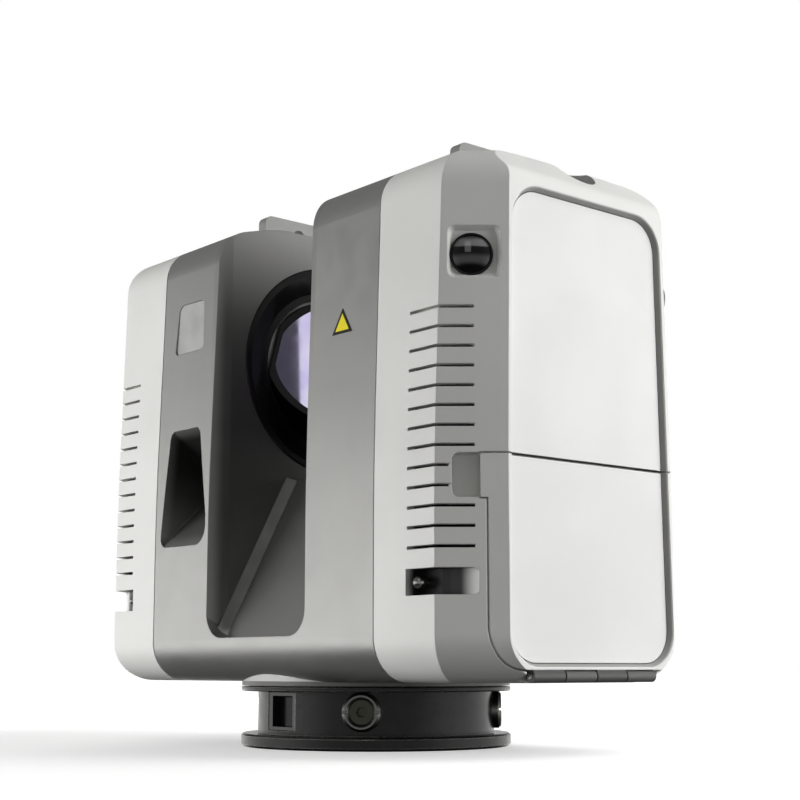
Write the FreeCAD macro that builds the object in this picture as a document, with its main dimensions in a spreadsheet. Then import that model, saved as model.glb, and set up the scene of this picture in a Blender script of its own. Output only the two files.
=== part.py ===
import FreeCAD, Part
import math
import os

import Sketcher

# Terrestrial laser scanner: a U-shaped head that pans on a round base, with a
# spinning mirror between its two towers.  Millimetres.  The origin is the centre
# of the base's underside, +X points to the battery tower, -Y to the front, +Z up.

DOC = FreeCAD.newDocument("laser_scanner")
SHEET = DOC.addObject("Spreadsheet::Sheet", "dims")
SHEET.Label = "dims"
NODES = []


class Size:
    """A number together with the spreadsheet formula that gives it."""

    def __init__(self, formula, value):
        self.formula = formula
        self.value = value

    @staticmethod
    def wrap(other):
        return other if isinstance(other, Size) else Size("%.6g" % other, float(other))

    def joined(self, other, sign, value):
        return Size("(%s %s %s)" % (self.formula, sign, other.formula), value)

    def __add__(self, other):
        other = Size.wrap(other)
        return self.joined(other, "+", self.value + other.value)

    def __radd__(self, other):
        return Size.wrap(other) + self

    def __sub__(self, other):
        other = Size.wrap(other)
        return self.joined(other, "-", self.value - other.value)

    def __rsub__(self, other):
        return Size.wrap(other) - self

    def __mul__(self, other):
        other = Size.wrap(other)
        return self.joined(other, "*", self.value * other.value)

    def __rmul__(self, other):
        return self * other

    def __truediv__(self, other):
        other = Size.wrap(other)
        return self.joined(other, "/", self.value / other.value)

    def __neg__(self):
        return Size("(0 - %s)" % self.formula, -self.value)


def driving(alias, value, note):
    """Adds one named cell to the sheet and returns it as a Size."""
    row = driving.row
    SHEET.set("A%d" % row, note)
    SHEET.set("B%d" % row, str(value))
    SHEET.setAlias("B%d" % row, alias)
    driving.row = row + 1
    return Size("dims." + alias, float(value))


driving.row = 1

# head
HALF_WIDTH = driving("half_width", 120, "head, half width along X")
HALF_DEPTH = driving("half_depth", 60.8, "head, half depth along Y")
BEND_X = driving("bend_x", 103.9, "where the front face turns into the corner face")
CORNER_ANGLE = driving("corner_angle", 49.6, "corner face, degrees from the front face")
CORNER_REACH = driving("corner_reach", 118.5, "corner face, distance from the pan axis")
HEAD_BOTTOM = driving("head_bottom", 25.4, "underside of the head")
SHOULDER_Z = driving("shoulder_z", 207.5, "front face meets the domed top")
DOME_Z = driving("dome_z", 223.6, "apex of the dome before rounding")
FRONT_LEAN = driving("front_lean", 3.3, "how far the front leans back at the shoulder")
CORNER_LEAN = driving("corner_lean", 1.3, "the same on the corner faces")
CORNER_SHOULDER = driving("corner_shoulder", 210.5, "corner face meets the domed top")
WAIST_Z = driving("waist_z", 100, "height of the widest section")
ROLL_LOW = driving("roll_low", 16, "radius of the lower edge")
ROLL_HIGH = driving("roll_high", 16, "radius of the upper edge")
ROLL_FACE = driving("roll_face", 1500, "radius of the slight belly of the front")
ROLL_DOME = driving("roll_dome", 165, "radius of the domed top")
DOME_TIGHTEN = driving("dome_tighten", 6, "how much faster that radius shrinks than the form")
SIDE_TOP = driving("side_top", 201.5, "where the side turns into its sloped shoulder")
SIDE_CROWN = driving("side_crown", 215, "upper end of that shoulder")
SIDE_LOW = driving("side_low", 28.5, "where the side ends above the underside")
SKIN = driving("skin", 3.2, "wall of the shells")
WALL = driving("wall", 4, "wall of the cast frame")
SEAM_X = driving("seam_x", 72, "joint between the frame and a shell")
SEAM_GAP = driving("seam_gap", 0.5, "gasket thickness in that joint")

# space between the towers
CAVITY_HALF = driving("cavity_half", 30.6, "half width between the towers")
CAVITY_MOUTH = driving("cavity_mouth", 32.5, "half width at the front and back")
MOUTH_DEPTH = driving("mouth_depth", 9, "depth of the flared mouth")
CAVITY_Z = driving("cavity_z", 42.3, "lip of the space between the towers")
CAVITY_ROUND = driving("cavity_round", 10, "radius of its lower corners")
TENT_FOOT = driving("tent_foot", 54.7, "half depth of the ramp at its foot")
TENT_TOP_HALF = driving("tent_top_half", 20.3, "half depth of the ramp's flat top")
TENT_TOP = driving("tent_top", 108, "height of the ramp's flat top")
TENT_CHAMFER = driving("tent_chamfer", 3.5, "strip between the ramp and the towers")

SENSOR_Y = driving("sensor_y", -57, "floor of the small recess on the left tower")

# scan axis
MIRROR_Z = driving("mirror_z", 157, "height of the scan axis")
BEZEL_R = driving("bezel_r", 45, "outer radius of the mirror bezel")
DRUM_R = driving("drum_r", 30.5, "radius of the mirror drum")
DRUM_BACK = driving("drum_back", -34.5, "x of the drum's back face")
MIRROR_X = driving("mirror_x", -6, "x where the mirror plane crosses the axis")
MIRROR_R = driving("mirror_r", 28, "radius of the mirror across the axis")
MIRROR_THICK = driving("mirror_thick", 4, "mirror glass thickness")
MIRROR_FACING = driving("mirror_facing", -15, "turn of the mirror at rest, degrees")
SHAFT_R = driving("shaft_r", 5, "mirror shaft radius")
RUNNING = driving("running", 0.05, "radial running clearance")
BEAM_R = driving("beam_r", 20.1, "radius of the beam window in the right tower")

# vents and corner features
VENT_LOW = driving("vent_low", 70.7, "height of the lowest vent")
VENT_PITCH = driving("vent_pitch", 6.803, "vent spacing")
VENT_COUNT = driving("vent_count", 13, "vents on each corner")
VENT_START = driving("vent_start", 89.9, "x where a vent starts")
VENT_ALONG = driving("vent_along", 13.7, "vent length on the corner face")
VENT_SLIT = driving("vent_slit", 1.1, "vent height")
VENT_DEEP = driving("vent_deep", 4.8, "how deep the slits are cut")
CAMERA_Z = driving("camera_z", 170.9, "height of a corner camera")
CAMERA_ALONG = driving("camera_along", 13, "corner camera, distance past the bend")
CAMERA_R = driving("camera_r", 7.4, "corner camera lens radius")
DOME_R = driving("dome_r", 13, "ball radius of its lens")
CAMERA_START = driving("camera_start", 3.8, "corner camera recess, distance past the bend")
CAMERA_END = driving("camera_end", 24.3, "the same, far edge")
CAMERA_DEEP = driving("camera_deep", 2.6, "corner camera recess, depth")
CAMERA_SLOPE = driving("camera_slope", 2.7, "how far its walls slope in")
CAMERA_LOW = driving("camera_low", 161.6, "corner camera recess, lower edge")
CAMERA_HIGH = driving("camera_high", 182, "corner camera recess, upper edge")
GROOVE_LOW = driving("groove_low", 54.6, "grip groove, lower edge")
GROOVE_HIGH = driving("groove_high", 63.6, "grip groove, upper edge")
GROOVE_START = driving("groove_start", 89.2, "x where the grip groove starts")
GROOVE_ALONG = driving("groove_along", 14.6, "grip groove length on the corner face")
GROOVE_DEEP = driving("groove_deep", 7, "grip groove depth")
PULL_LOW = driving("pull_low", 87, "lower edge of the finger pocket beside the door")
PULL_DEEP = driving("pull_deep", 5.4, "depth of the finger pocket")
PULL_START = driving("pull_start", 5.9, "finger pocket, distance past the bend")

# battery door and side panels
DOOR_TOP = driving("door_top", 102.1, "parting line of the battery door")
DOOR_X = driving("door_x", 115.2, "inner face of the battery door")
DOOR_HALF = driving("door_half", 46.9, "half width of the battery door")
DOOR_LOW = driving("door_low", 29.9, "lower edge of the battery door")
DOOR_ROUND = driving("door_round", 14, "radius of its lower corners")
DOOR_GAP = driving("door_gap", 0.6, "gap round the battery door")
HINGE_X = driving("hinge_x", 118.1, "x of the door hinge")
HINGE_Z = driving("hinge_z", 27.7, "z of the door hinge")
KNUCKLE_R = driving("knuckle_r", 2.15, "hinge knuckle radius")
KNUCKLE_LONG = driving("knuckle_long", 15, "hinge knuckle length")
PIN_R = driving("pin_r", 1, "hinge pin radius")
LEAF_TOP = driving("leaf_top", 29.5, "top of the fixed hinge leaf")
RECESS_X = driving("recess_x", 116.4, "floor of the side recess")
PANEL_X = driving("panel_x", 118, "face of the side panels")
PANEL_TOP = driving("panel_top", 196.2, "side recess, upper edge")
PANEL_LOW = driving("panel_low", 31.9, "side recess, lower edge")
PANEL_HALF_LOW = driving("panel_half_low", 40.3, "side recess, half width at the bottom")
PANEL_HALF_HIGH = driving("panel_half_high", 37, "side recess, half width at the top")
PANEL_ROUND = driving("panel_round", 12, "side recess, corner radius")
PLATE_GAP = driving("plate_gap", 0.3, "gap round a side panel")
RIM_SLOPE = driving("rim_slope", 1.4, "how far the side recess widens to its rim")
BUTTON_Z = driving("button_z", 52, "height of the power button")
BUTTON_R = driving("button_r", 7, "power button radius")
SCREEN_LOW = driving("screen_low", 72, "screen, lower edge")

# base
FLANGE_R = driving("flange_r", 54.1, "radius of the base flanges")
WAIST_R = driving("waist_r", 47.4, "radius between the flanges")
LOW_FLANGE = driving("low_flange", 5.1, "top of the lower flange")
TOP_FLANGE = driving("top_flange", 21.6, "underside of the upper flange")
BASE_TOP = driving("base_top", 23.3, "top of the base")
BOSS_LOW = driving("boss_low", 23.7, "underside of the head's round boss")
CHAMBER_R = driving("chamber_r", 43, "radius of the base's inner chamber")
NECK_R = driving("neck_r", 34, "radius of the base's neck")
NECK_BORE = driving("neck_bore", 30, "bore of the base's neck")
NECK_TOP = driving("neck_top", 35.6, "top of the neck")
SOCKET_R = driving("socket_r", 44, "bearing seat in the head")
SOCKET_TOP = driving("socket_top", 36.2, "roof of the bearing seat")
PLATE_R = driving("plate_r", 40, "radius of the tripod plate")
PLATE_THICK = driving("plate_thick", 4, "thickness of the tripod plate")
THREAD_R = driving("thread_r", 7.3, "tripod thread, minor radius")
THREAD_DEEP = driving("thread_deep", 7, "depth of the tripod thread")
BASE_TWIST = driving("base_twist", -1, "turn of the base pattern, degrees")
LOCK_Z = driving("lock_z", 14.2, "height of the quarter-turn locks")
LOCK_SEAT_R = driving("lock_seat_r", 7.3, "outer radius of a lock's seat")
LOCK_CAM_R = driving("lock_cam_r", 4.6, "radius of a lock's cam")
SHAFT_BORE = driving("shaft_bore", 6, "bore of the pan shaft")
SHAFT_WALL = driving("shaft_wall", 9, "outer radius of the pan shaft")

# lugs on the top
LUG_IN = driving("lug_in", 61.2, "inner face of a carrying lug")
LUG_OUT = driving("lug_out", 66.6, "outer face of a carrying lug")
LUG_TOP = driving("lug_top", 231.4, "top of a carrying lug")
LUG_FRONT = driving("lug_front", -14, "front edge of a carrying lug")
LUG_BACK = driving("lug_back", 23, "back edge of a carrying lug")
LUG_FOOT = driving("lug_foot", 212, "foot of a carrying lug, inside the top")
EYE_R = driving("eye_r", 3, "eyelet radius")
EYE_Z = driving("eye_z", 224.5, "eyelet height")

# upward camera, cooling fan
TOP_X = driving("top_x", 104, "floor of the upward camera's pocket, x")
TOP_Y = driving("top_y", 4.5, "the same, y")
TOP_Z = driving("top_z", 206.6, "the same, z")
TOP_R = driving("top_r", 9.3, "radius of the upward camera")
TOP_TILT = driving("top_tilt", 35, "tilt of the upward camera, degrees")
FAN_X = driving("fan_x", -88, "x of the cooling fan")
FAN_Y = driving("fan_y", 56.3, "y of the cooling fan's back")
FAN_Z = driving("fan_z", 112, "height of the cooling fan")


# ---------------------------------------------------------------- helpers

def bind(thing, prop, size):
    """Sets a property from a Size: bound to the sheet, or plain for a number."""
    size = Size.wrap(size)
    thing.setExpression(prop, size.formula)


def place(thing, x=0, y=0, z=0, axis=(0, 0, 1), angle=0):
    """Places an object; its position stays bound to the sheet."""
    turn = FreeCAD.Rotation(FreeCAD.Vector(*axis), Size.wrap(angle).value)
    spot = [Size.wrap(v) for v in (x, y, z)]
    base = FreeCAD.Vector(*[s.value for s in spot])
    thing.Placement = FreeCAD.Placement(base, turn)
    for name, size in zip("xyz", spot):
        bind(thing, "Placement.Base." + name, size)
    if isinstance(angle, Size):
        bind(thing, "Placement.Rotation.Angle", angle)
    return thing


def box(name, x, y, z):
    """A box from three (low, high) pairs."""
    solid = DOC.addObject("Part::Box", name)
    for prop, (low, high) in zip(("Length", "Width", "Height"), (x, y, z)):
        bind(solid, prop, Size.wrap(high) - low)
    return place(solid, x[0], y[0], z[0])


def cylinder(name, radius, length, x=0, y=0, z=0, axis=(0, 0, 1), angle=0):
    solid = DOC.addObject("Part::Cylinder", name)
    bind(solid, "Radius", radius)
    bind(solid, "Height", length)
    return place(solid, x, y, z, axis, angle)


def sphere(name, radius, x, y, z):
    solid = DOC.addObject("Part::Sphere", name)
    bind(solid, "Radius", radius)
    return place(solid, x, y, z)


def boolean(kind, name, base, tools):
    """Part::Cut, Part::MultiFuse or Part::MultiCommon of some objects."""
    result = DOC.addObject(kind, name)
    if kind == "Part::Cut":
        result.Base = base
        result.Tool = tools[0] if len(tools) == 1 else fuse(name + "_tools", tools)
    else:
        result.Shapes = [base] + list(tools)
    return result


def cut(name, base, *tools):
    return boolean("Part::Cut", name, base, tools)


def fuse(name, tools):
    return boolean("Part::MultiFuse", name, tools[0], tools[1:])


def common(name, base, *tools):
    return boolean("Part::MultiCommon", name, base, tools)


def mirrored(name, source, normal):
    image = DOC.addObject("Part::Mirroring", name)
    image.Source = source
    image.Normal = FreeCAD.Vector(*normal)
    return image


def group(name, solids):
    """Several separate solids in one node."""
    result = DOC.addObject("Part::Compound", name)
    result.Links = solids
    return result


def turned(name, source, angle):
    """A copy of an object, turned round the pan axis."""
    copy = DOC.addObject("Part::Compound", name)
    copy.Links = [source]
    return place(copy, angle=angle)


def node(label, thing):
    """Marks an object as one finished sub-part, exported under its label."""
    thing.Label = label
    NODES.append(thing)
    return thing


def origin_plane(body, role):
    for feature in body.Origin.OriginFeatures:
        if feature.Role == role:
            return feature
    raise ValueError(role)


def new_body(name):
    return DOC.addObject("PartDesign::Body", name)


def sketch_on(body, name, role, offset=0):
    sketch = body.newObject("Sketcher::SketchObject", name)
    sketch.AttachmentSupport = (origin_plane(body, role), [""])
    sketch.MapMode = "FlatFace"
    bind(sketch, "AttachmentOffset.Base.z", offset)
    return sketch


def dimension(sketch, kind, refs, size):
    """One dimensional constraint, bound to the sheet."""
    index = sketch.addConstraint(Sketcher.Constraint(kind, *refs, size.value))
    bind(sketch, "Constraints[%d]" % index, size)


def pin_point(sketch, geometry, position, x, y):
    dimension(sketch, "DistanceX", (-1, 1, geometry, position), x)
    dimension(sketch, "DistanceY", (-1, 1, geometry, position), y)


def draw_circle(sketch, x, y, radius):
    x, y, radius = Size.wrap(x), Size.wrap(y), Size.wrap(radius)
    centre = FreeCAD.Vector(x.value, y.value, 0)
    index = sketch.addGeometry(Part.Circle(centre, FreeCAD.Vector(0, 0, 1), radius.value))
    pin_point(sketch, index, 3, x, y)
    dimension(sketch, "Radius", (index,), radius)


def corner_arc(before, corner, after, radius):
    """Tangent points and arc of one rounded corner, in plain numbers."""
    back = (before - corner).normalize()
    ahead = (after - corner).normalize()
    half = back.getAngle(ahead) / 2
    reach = radius / math.tan(half)
    middle = (back + ahead).normalize()
    centre = corner + middle * (radius / math.sin(half))
    first = corner + back * reach
    last = corner + ahead * reach
    left_turn = (corner - before).cross(after - corner).z > 0
    low, high = (first, last) if left_turn else (last, first)
    start = math.atan2(low.y - centre.y, low.x - centre.x)
    end = math.atan2(high.y - centre.y, high.x - centre.x)
    circle = Part.Circle(centre, FreeCAD.Vector(0, 0, 1), radius)
    return first, last, Part.ArcOfCircle(circle, start, end), left_turn


def draw_outline(sketch, points):
    """A closed outline of (x, y) or (x, y, corner radius) points, fully bound."""
    corners = [(Size.wrap(p[0]), Size.wrap(p[1]), p[2] if len(p) > 2 else 0) for p in points]
    spots = [FreeCAD.Vector(x.value, y.value, 0) for x, y, _ in corners]
    count = len(corners)
    ends = []
    for i in range(count):
        radius = Size.wrap(corners[i][2])
        if radius.value:
            before, after = spots[i - 1], spots[(i + 1) % count]
            ends.append(corner_arc(before, spots[i], after, radius.value))
        else:
            ends.append((spots[i], spots[i], None, True))
    lines = []
    for i in range(count):
        leave, reach = ends[i][1], ends[(i + 1) % count][0]
        lines.append(sketch.addGeometry(Part.LineSegment(leave, reach)))
    for i in range(count):
        x, y, radius = corners[i]
        last, this = lines[i - 1], lines[i]
        if ends[i][2] is None:
            sketch.addConstraint(Sketcher.Constraint("Coincident", last, 2, this, 1))
            pin_point(sketch, this, 1, x, y)
            continue
        arc = sketch.addGeometry(ends[i][2])
        entry, leave = (1, 2) if ends[i][3] else (2, 1)
        sketch.addConstraint(Sketcher.Constraint("Tangent", last, 2, arc, entry))
        sketch.addConstraint(Sketcher.Constraint("Tangent", this, 1, arc, leave))
        dimension(sketch, "Radius", (arc,), Size.wrap(radius))
        mark = sketch.addGeometry(Part.Point(spots[i]), True)
        pin_point(sketch, mark, 1, x, y)
        sketch.addConstraint(Sketcher.Constraint("PointOnObject", mark, 1, last))
        sketch.addConstraint(Sketcher.Constraint("PointOnObject", mark, 1, this))


def pad(body, sketch, length, name="pad"):
    feature = body.newObject("PartDesign::Pad", body.Name + "_" + name)
    feature.Profile = sketch
    bind(feature, "Length", length)
    return feature


def prism(name, role, points, low, high, holes=(), taper=0):
    """A body padded from an outline between two levels along the plane's axis."""
    body = new_body(name)
    low, high = Size.wrap(low), Size.wrap(high)
    offset = -high if role == "XZ_Plane" else low
    sketch = sketch_on(body, name + "_outline", role, offset)
    draw_outline(sketch, points)
    for hole in holes:
        draw_circle(sketch, *hole)
    pad(body, sketch, high - low).TaperAngle = taper
    return body


def disc(name, radius, low, high, role="XY_Plane", x=0, y=0, holes=()):
    """A round body with optional round holes, padded between two levels."""
    body = new_body(name)
    low, high = Size.wrap(low), Size.wrap(high)
    offset = -high if role == "XZ_Plane" else low
    sketch = sketch_on(body, name + "_outline", role, offset)
    draw_circle(sketch, x, y, radius)
    for hole in holes:
        draw_circle(sketch, *hole)
    pad(body, sketch, high - low)
    return body


def lathe(name, points):
    """A body turned round its own Z axis from an (r, z) outline."""
    body = new_body(name)
    sketch = sketch_on(body, name + "_outline", "XZ_Plane")
    draw_outline(sketch, points)
    turn = body.newObject("PartDesign::Revolution", name + "_turn")
    turn.Profile = sketch
    turn.ReferenceAxis = (sketch, ["V_Axis"])
    turn.Angle = 360
    return body


def along_x(body, x=0, y=0, z=0):
    """Lays a turned body's own axis along +X."""
    return place(body, x, y, z, (0, 1, 0), 90)


def ring(low, high, inner, outer):
    """The (r, z) outline of a plain ring."""
    return [(inner, low), (outer, low), (outer, high), (inner, high)]


# ---------------------------------------------------------------- head outline

def edge_profile(name, reach, lean, shoulder, length, inset):
    """The head's section across one pair of faces, extruded both ways."""
    belly, top = reach - inset, shoulder - inset
    dome = ROLL_DOME - DOME_TIGHTEN * inset
    points = [
        (-belly, HEAD_BOTTOM + inset, ROLL_LOW - inset),
        (belly, HEAD_BOTTOM + inset, ROLL_LOW - inset),
        (belly, WAIST_Z, ROLL_FACE),
        (belly - lean, top, ROLL_HIGH - inset),
        (0, DOME_Z - inset, dome),
        (lean - belly, top, ROLL_HIGH - inset),
        (-belly, WAIST_Z, ROLL_FACE),
    ]
    return prism(name, "YZ_Plane", points, -length, length)


def side_profile(name, inset):
    """The head's section across X: rounded over at the top of each side."""
    half = HALF_WIDTH - inset
    top, bottom = SIDE_CROWN - inset, HEAD_BOTTOM + inset
    points = [
        (-half, SIDE_LOW, 1.5),
        (4 - half, bottom, 2),
        (half - 4, bottom, 2),
        (half, SIDE_LOW, 1.5),
        (half, SIDE_TOP, 9),
        (half - 14, top, 14),
        (14 - half, top, 14),
        (-half, SIDE_TOP, 9),
    ]
    return prism(name, "XZ_Plane", points, -70, 70)


def corner_profile(name, angle, inset):
    body = edge_profile(name, CORNER_REACH, CORNER_LEAN, CORNER_SHOULDER, 160, inset)
    return place(body, angle=angle)


def envelope(name, inset):
    """The whole outer form of the head, or the same form moved inwards."""
    front = edge_profile(name + "_front", HALF_DEPTH, FRONT_LEAN, SHOULDER_Z, 125, inset)
    sides = side_profile(name + "_sides", inset)
    right = corner_profile(name + "_right", CORNER_ANGLE, inset)
    left = corner_profile(name + "_left", -CORNER_ANGLE, inset)
    return common(name, front, sides, right, left)


OUTER = envelope("outer_form", Size.wrap(0))
INNER = envelope("inner_form", SKIN)


# ---------------------------------------------------------------- frame

def ramp_outline(inset):
    """The tent-shaped floor between the towers, as a section across X."""
    return [
        (inset - TENT_FOOT, CAVITY_Z),
        (inset - TENT_TOP_HALF, TENT_TOP - inset),
        (TENT_TOP_HALF - inset, TENT_TOP - inset),
        (TENT_FOOT - inset, CAVITY_Z),
    ]


def cavity_tool():
    """Everything that is cut away between the towers."""
    mouth_y = HALF_DEPTH - MOUTH_DEPTH
    plan = [
        (-CAVITY_MOUTH, -70), (CAVITY_MOUTH, -70), (CAVITY_MOUTH, -HALF_DEPTH),
        (CAVITY_HALF, -mouth_y), (CAVITY_HALF, mouth_y), (CAVITY_MOUTH, HALF_DEPTH),
        (CAVITY_MOUTH, 70), (-CAVITY_MOUTH, 70), (-CAVITY_MOUTH, HALF_DEPTH),
        (-CAVITY_HALF, mouth_y), (-CAVITY_HALF, -mouth_y), (-CAVITY_MOUTH, -HALF_DEPTH),
    ]
    slot = prism("cavity_slot", "XY_Plane", plan, CAVITY_Z, 250)
    rounded = prism("cavity_rounded", "XZ_Plane", [
        (-CAVITY_MOUTH, CAVITY_Z, CAVITY_ROUND), (CAVITY_MOUTH, CAVITY_Z, CAVITY_ROUND),
        (CAVITY_MOUTH, 260), (-CAVITY_MOUTH, 260),
    ], -75, 75)
    ramp = prism("cavity_ramp", "YZ_Plane", ramp_outline(Size.wrap(0)), -45, 45)
    return cut("cavity_tool", common("cavity_space", slot, rounded), ramp)


def ramp_strips():
    """Narrow bevelled strips where the ramp meets the towers."""
    rise = (TENT_TOP - CAVITY_Z).value
    run = (TENT_FOOT - TENT_TOP_HALF).value
    slope = math.degrees(math.atan2(rise, run))
    strip = prism("ramp_strip", "XY_Plane", [
        (0.3, 0.3), (0.3, -TENT_CHAMFER), (0, -TENT_CHAMFER), (-TENT_CHAMFER, 0), (-TENT_CHAMFER, 0.3),
    ], -2, 74)
    place(strip, CAVITY_HALF, -TENT_FOOT, CAVITY_Z, (1, 0, 0), slope - 90)
    right = fuse("strips_right", [strip, mirrored("strip_behind", strip, (0, 1, 0))])
    return [right, mirrored("strips_left", right, (1, 0, 0))]


def tower_pocket(name, side):
    """The hollow of one tower, open towards its shell."""
    back = HALF_DEPTH - WALL - 2
    outline = [
        (-back, 46, 6), (back, 46, 6), (back, 194, 6), (back - 12, 205), (0, 209),
        (12 - back, 205), (-back, 194, 6),
    ]
    near, far = CAVITY_HALF + WALL + 6, SEAM_X + 1
    low, high = (near, far) if side > 0 else (-far, -near)
    return prism(name, "YZ_Plane", outline, low, high)


def sensor_outline(inset):
    """The small recess high on the left tower's front, as (x, z) points."""
    return [
        (inset - 62.8, 161.2 + inset, 2), (-41 - inset, 161.2 + inset, 2),
        (-42 - inset, 182.2 - inset, 3), (inset - 60.5, 182.4 - inset, 4),
    ]


def funnel_backing():
    """The walls of the funnel-shaped pocket, inside the left tower."""
    return prism("funnel_backing", "YZ_Plane", [
        (-66, 70), (-33.5, 103.5), (-33.5, 110.5), (-66, 138),
    ], -75, -30)


def recess_tools():
    """Pockets in the front of the left tower."""
    window = prism("window_recess", "XZ_Plane", sensor_outline(Size.wrap(0)), -64, SENSOR_Y)
    front = prism("funnel_front", "XZ_Plane", [
        (-68.6, 80.2, 4), (-34.4, 79.6, 8), (-34.6, 92), (-40.8, 128.5, 4), (-62.6, 128.5, 4),
    ], -66, -30)
    depth = prism("funnel_depth", "YZ_Plane", [
        (-66, 74.6), (-36, 105), (-36, 109), (-66, 133.4),
    ], -75, -30)
    return [window, common("funnel", front, depth)]


def lug_slots():
    slots = []
    for side, name in ((1, "right"), (-1, "left")):
        low, high = (LUG_IN - 0.05, LUG_OUT + 0.05) if side > 0 else (-LUG_OUT - 0.05, 0.05 - LUG_IN)
        depth = (LUG_FRONT - 0.05, LUG_BACK + 0.05)
        slots.append(box("lug_slot_" + name, (low, high), depth, (LUG_FOOT, 240)))
    return slots


def main_frame():
    """The cast grey U that carries everything."""
    slab = box("frame_slab", (-(SEAM_X - SEAM_GAP / 2), SEAM_X - SEAM_GAP / 2), (-80, 80), (0, 240))
    body = common("frame_blank", OUTER, slab)
    boss = disc("frame_boss", FLANGE_R - 0.2, BOSS_LOW, HEAD_BOTTOM + 3)
    strips = ramp_strips()
    opened = cut("frame_open", fuse("frame_bossed", [body, boss]), cavity_tool())
    solid = fuse("frame_solid", [opened] + strips)
    tools = [
        tower_pocket("pocket_right", 1),
        cut("pocket_left_clear", tower_pocket("pocket_left", -1), funnel_backing()),
        prism("ramp_hollow", "YZ_Plane", [
            (-46, 44.5), (46, 44.5), (15.5, 103), (-15.5, 103),
        ], -26, 26),
        cylinder("bearing_socket", SOCKET_R, SOCKET_TOP, 0, 0, 0),
        cylinder("shaft_socket", 26.3, SOCKET_TOP + 4, 0, 0, 0),
        cylinder("bezel_socket", BEZEL_R, 6, -(CAVITY_HALF + 5), 0, MIRROR_Z, (0, 1, 0), 90),
        cylinder("mirror_bearing_seat", 16, 20, -50, 0, MIRROR_Z, (0, 1, 0), 90),
        cylinder("beam_seat", BEAM_R + RUNNING, 20, CAVITY_HALF - 10, 0, MIRROR_Z, (0, 1, 0), 90),
    ]
    return node("main_frame", cut("frame_final", solid, *(tools + recess_tools() + lug_slots())))


def sensor_window():
    """The frosted pane on the floor of the small recess."""
    pane = prism("sensor_pane", "XZ_Plane", sensor_outline(Size.wrap(0.12)), SENSOR_Y - 1, SENSOR_Y)
    node("sensor_window", pane)


# ---------------------------------------------------------------- shells

TURN = math.radians(CORNER_ANGLE.value)
COSINE = Size.wrap(math.cos(TURN))
SINE = Size.wrap(math.sin(TURN))


def corner_point(along, depth):
    """A plan point on the front right corner face: past the bend, and inwards."""
    along, depth = Size.wrap(along), Size.wrap(depth)
    x = BEND_X + along * COSINE - depth * SINE
    y = along * SINE + depth * COSINE - HALF_DEPTH
    return x, y


def face_prism(name, points, start, end, taper=0):
    """A prism square to the corner face from an (along, z) outline, between two depths."""
    body = prism(name, "XY_Plane", points, -Size.wrap(start), -Size.wrap(end), (), taper)
    along = FreeCAD.Vector(COSINE.value, SINE.value, 0)
    upward = FreeCAD.Vector(0, 0, 1)
    body.Placement = FreeCAD.Placement(
        FreeCAD.Vector(BEND_X.value, -HALF_DEPTH.value, 0),
        FreeCAD.Rotation(along, upward, along.cross(upward), "XYZ"),
    )
    bind(body, "Placement.Base.x", BEND_X)
    bind(body, "Placement.Base.y", -HALF_DEPTH)
    return body


def vents():
    """The slits round one corner: one strip that follows the bend, and a pattern."""
    plan = [
        (VENT_START, -HALF_DEPTH - 3), (BEND_X + 1, -HALF_DEPTH - 3), corner_point(VENT_ALONG, -3),
        corner_point(VENT_ALONG, VENT_DEEP), corner_point(2, VENT_DEEP), (VENT_START, VENT_DEEP - HALF_DEPTH),
    ]
    body = prism("vents", "XY_Plane", plan, VENT_LOW - VENT_SLIT / 2, VENT_LOW + VENT_SLIT / 2)
    DOC.recompute()
    pattern = body.newObject("PartDesign::LinearPattern", "vent_rows")
    pattern.Originals = [body.Tip]
    pattern.Direction = (origin_plane(body, "Z_Axis"), [""])
    bind(pattern, "Length", VENT_PITCH * (VENT_COUNT - 1))
    bind(pattern, "Occurrences", VENT_COUNT)
    body.Tip = pattern
    return body


def grip_groove():
    """A deep slot that runs out in a scoop on the corner face."""
    plan = [
        (GROOVE_START, -HALF_DEPTH - 3), (BEND_X + 1, -HALF_DEPTH - 3), corner_point(GROOVE_ALONG + 2, -3),
        corner_point(GROOVE_ALONG, 0.3), corner_point(GROOVE_ALONG - 3.6, 2.4),
        corner_point(GROOVE_ALONG - 9, 6), (BEND_X - 4, GROOVE_DEEP - HALF_DEPTH),
        (GROOVE_START, GROOVE_DEEP - HALF_DEPTH),
    ]
    slot = prism("grip_slot", "XY_Plane", plan, GROOVE_LOW, GROOVE_HIGH)
    ends = face_prism("grip_ends", [
        (-30, GROOVE_LOW), (GROOVE_ALONG + 0.4, GROOVE_LOW, 2.5), (GROOVE_ALONG + 0.4, GROOVE_HIGH, 2.5),
        (-30, GROOVE_HIGH),
    ], 30, -10)
    return common("grip_groove", slot, ends)


def camera_recess():
    """A rounded square dish whose walls slope in to a flat floor."""
    low, high = CAMERA_LOW + CAMERA_SLOPE, CAMERA_HIGH - CAMERA_SLOPE
    start, end = CAMERA_START + CAMERA_SLOPE, CAMERA_END - CAMERA_SLOPE
    floor = [(start, low, 1), (end, low, 1), (end, high, 1), (start, high, 1)]
    slope = math.degrees(math.atan2(CAMERA_SLOPE.value, CAMERA_DEEP.value))
    return face_prism("camera_recess", floor, CAMERA_DEEP, -1.5, slope)


def recess_outline(inset):
    """The rounded panel shape of a side, as (y, z) points."""
    low, high = PANEL_HALF_LOW - inset, PANEL_HALF_HIGH - inset
    radius = PANEL_ROUND - inset
    return [
        (-low, PANEL_LOW + inset, radius), (low, PANEL_LOW + inset, radius),
        (high, PANEL_TOP - inset, radius), (-high, PANEL_TOP - inset, radius),
    ]


def door_outline(grow, top):
    """The battery door's (y, z) outline, or the opening round it."""
    half, low = DOOR_HALF + grow, DOOR_LOW - grow
    return [
        (-half, low, DOOR_ROUND + grow), (half, low, DOOR_ROUND + grow),
        (half, top), (-half, top),
    ]


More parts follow.
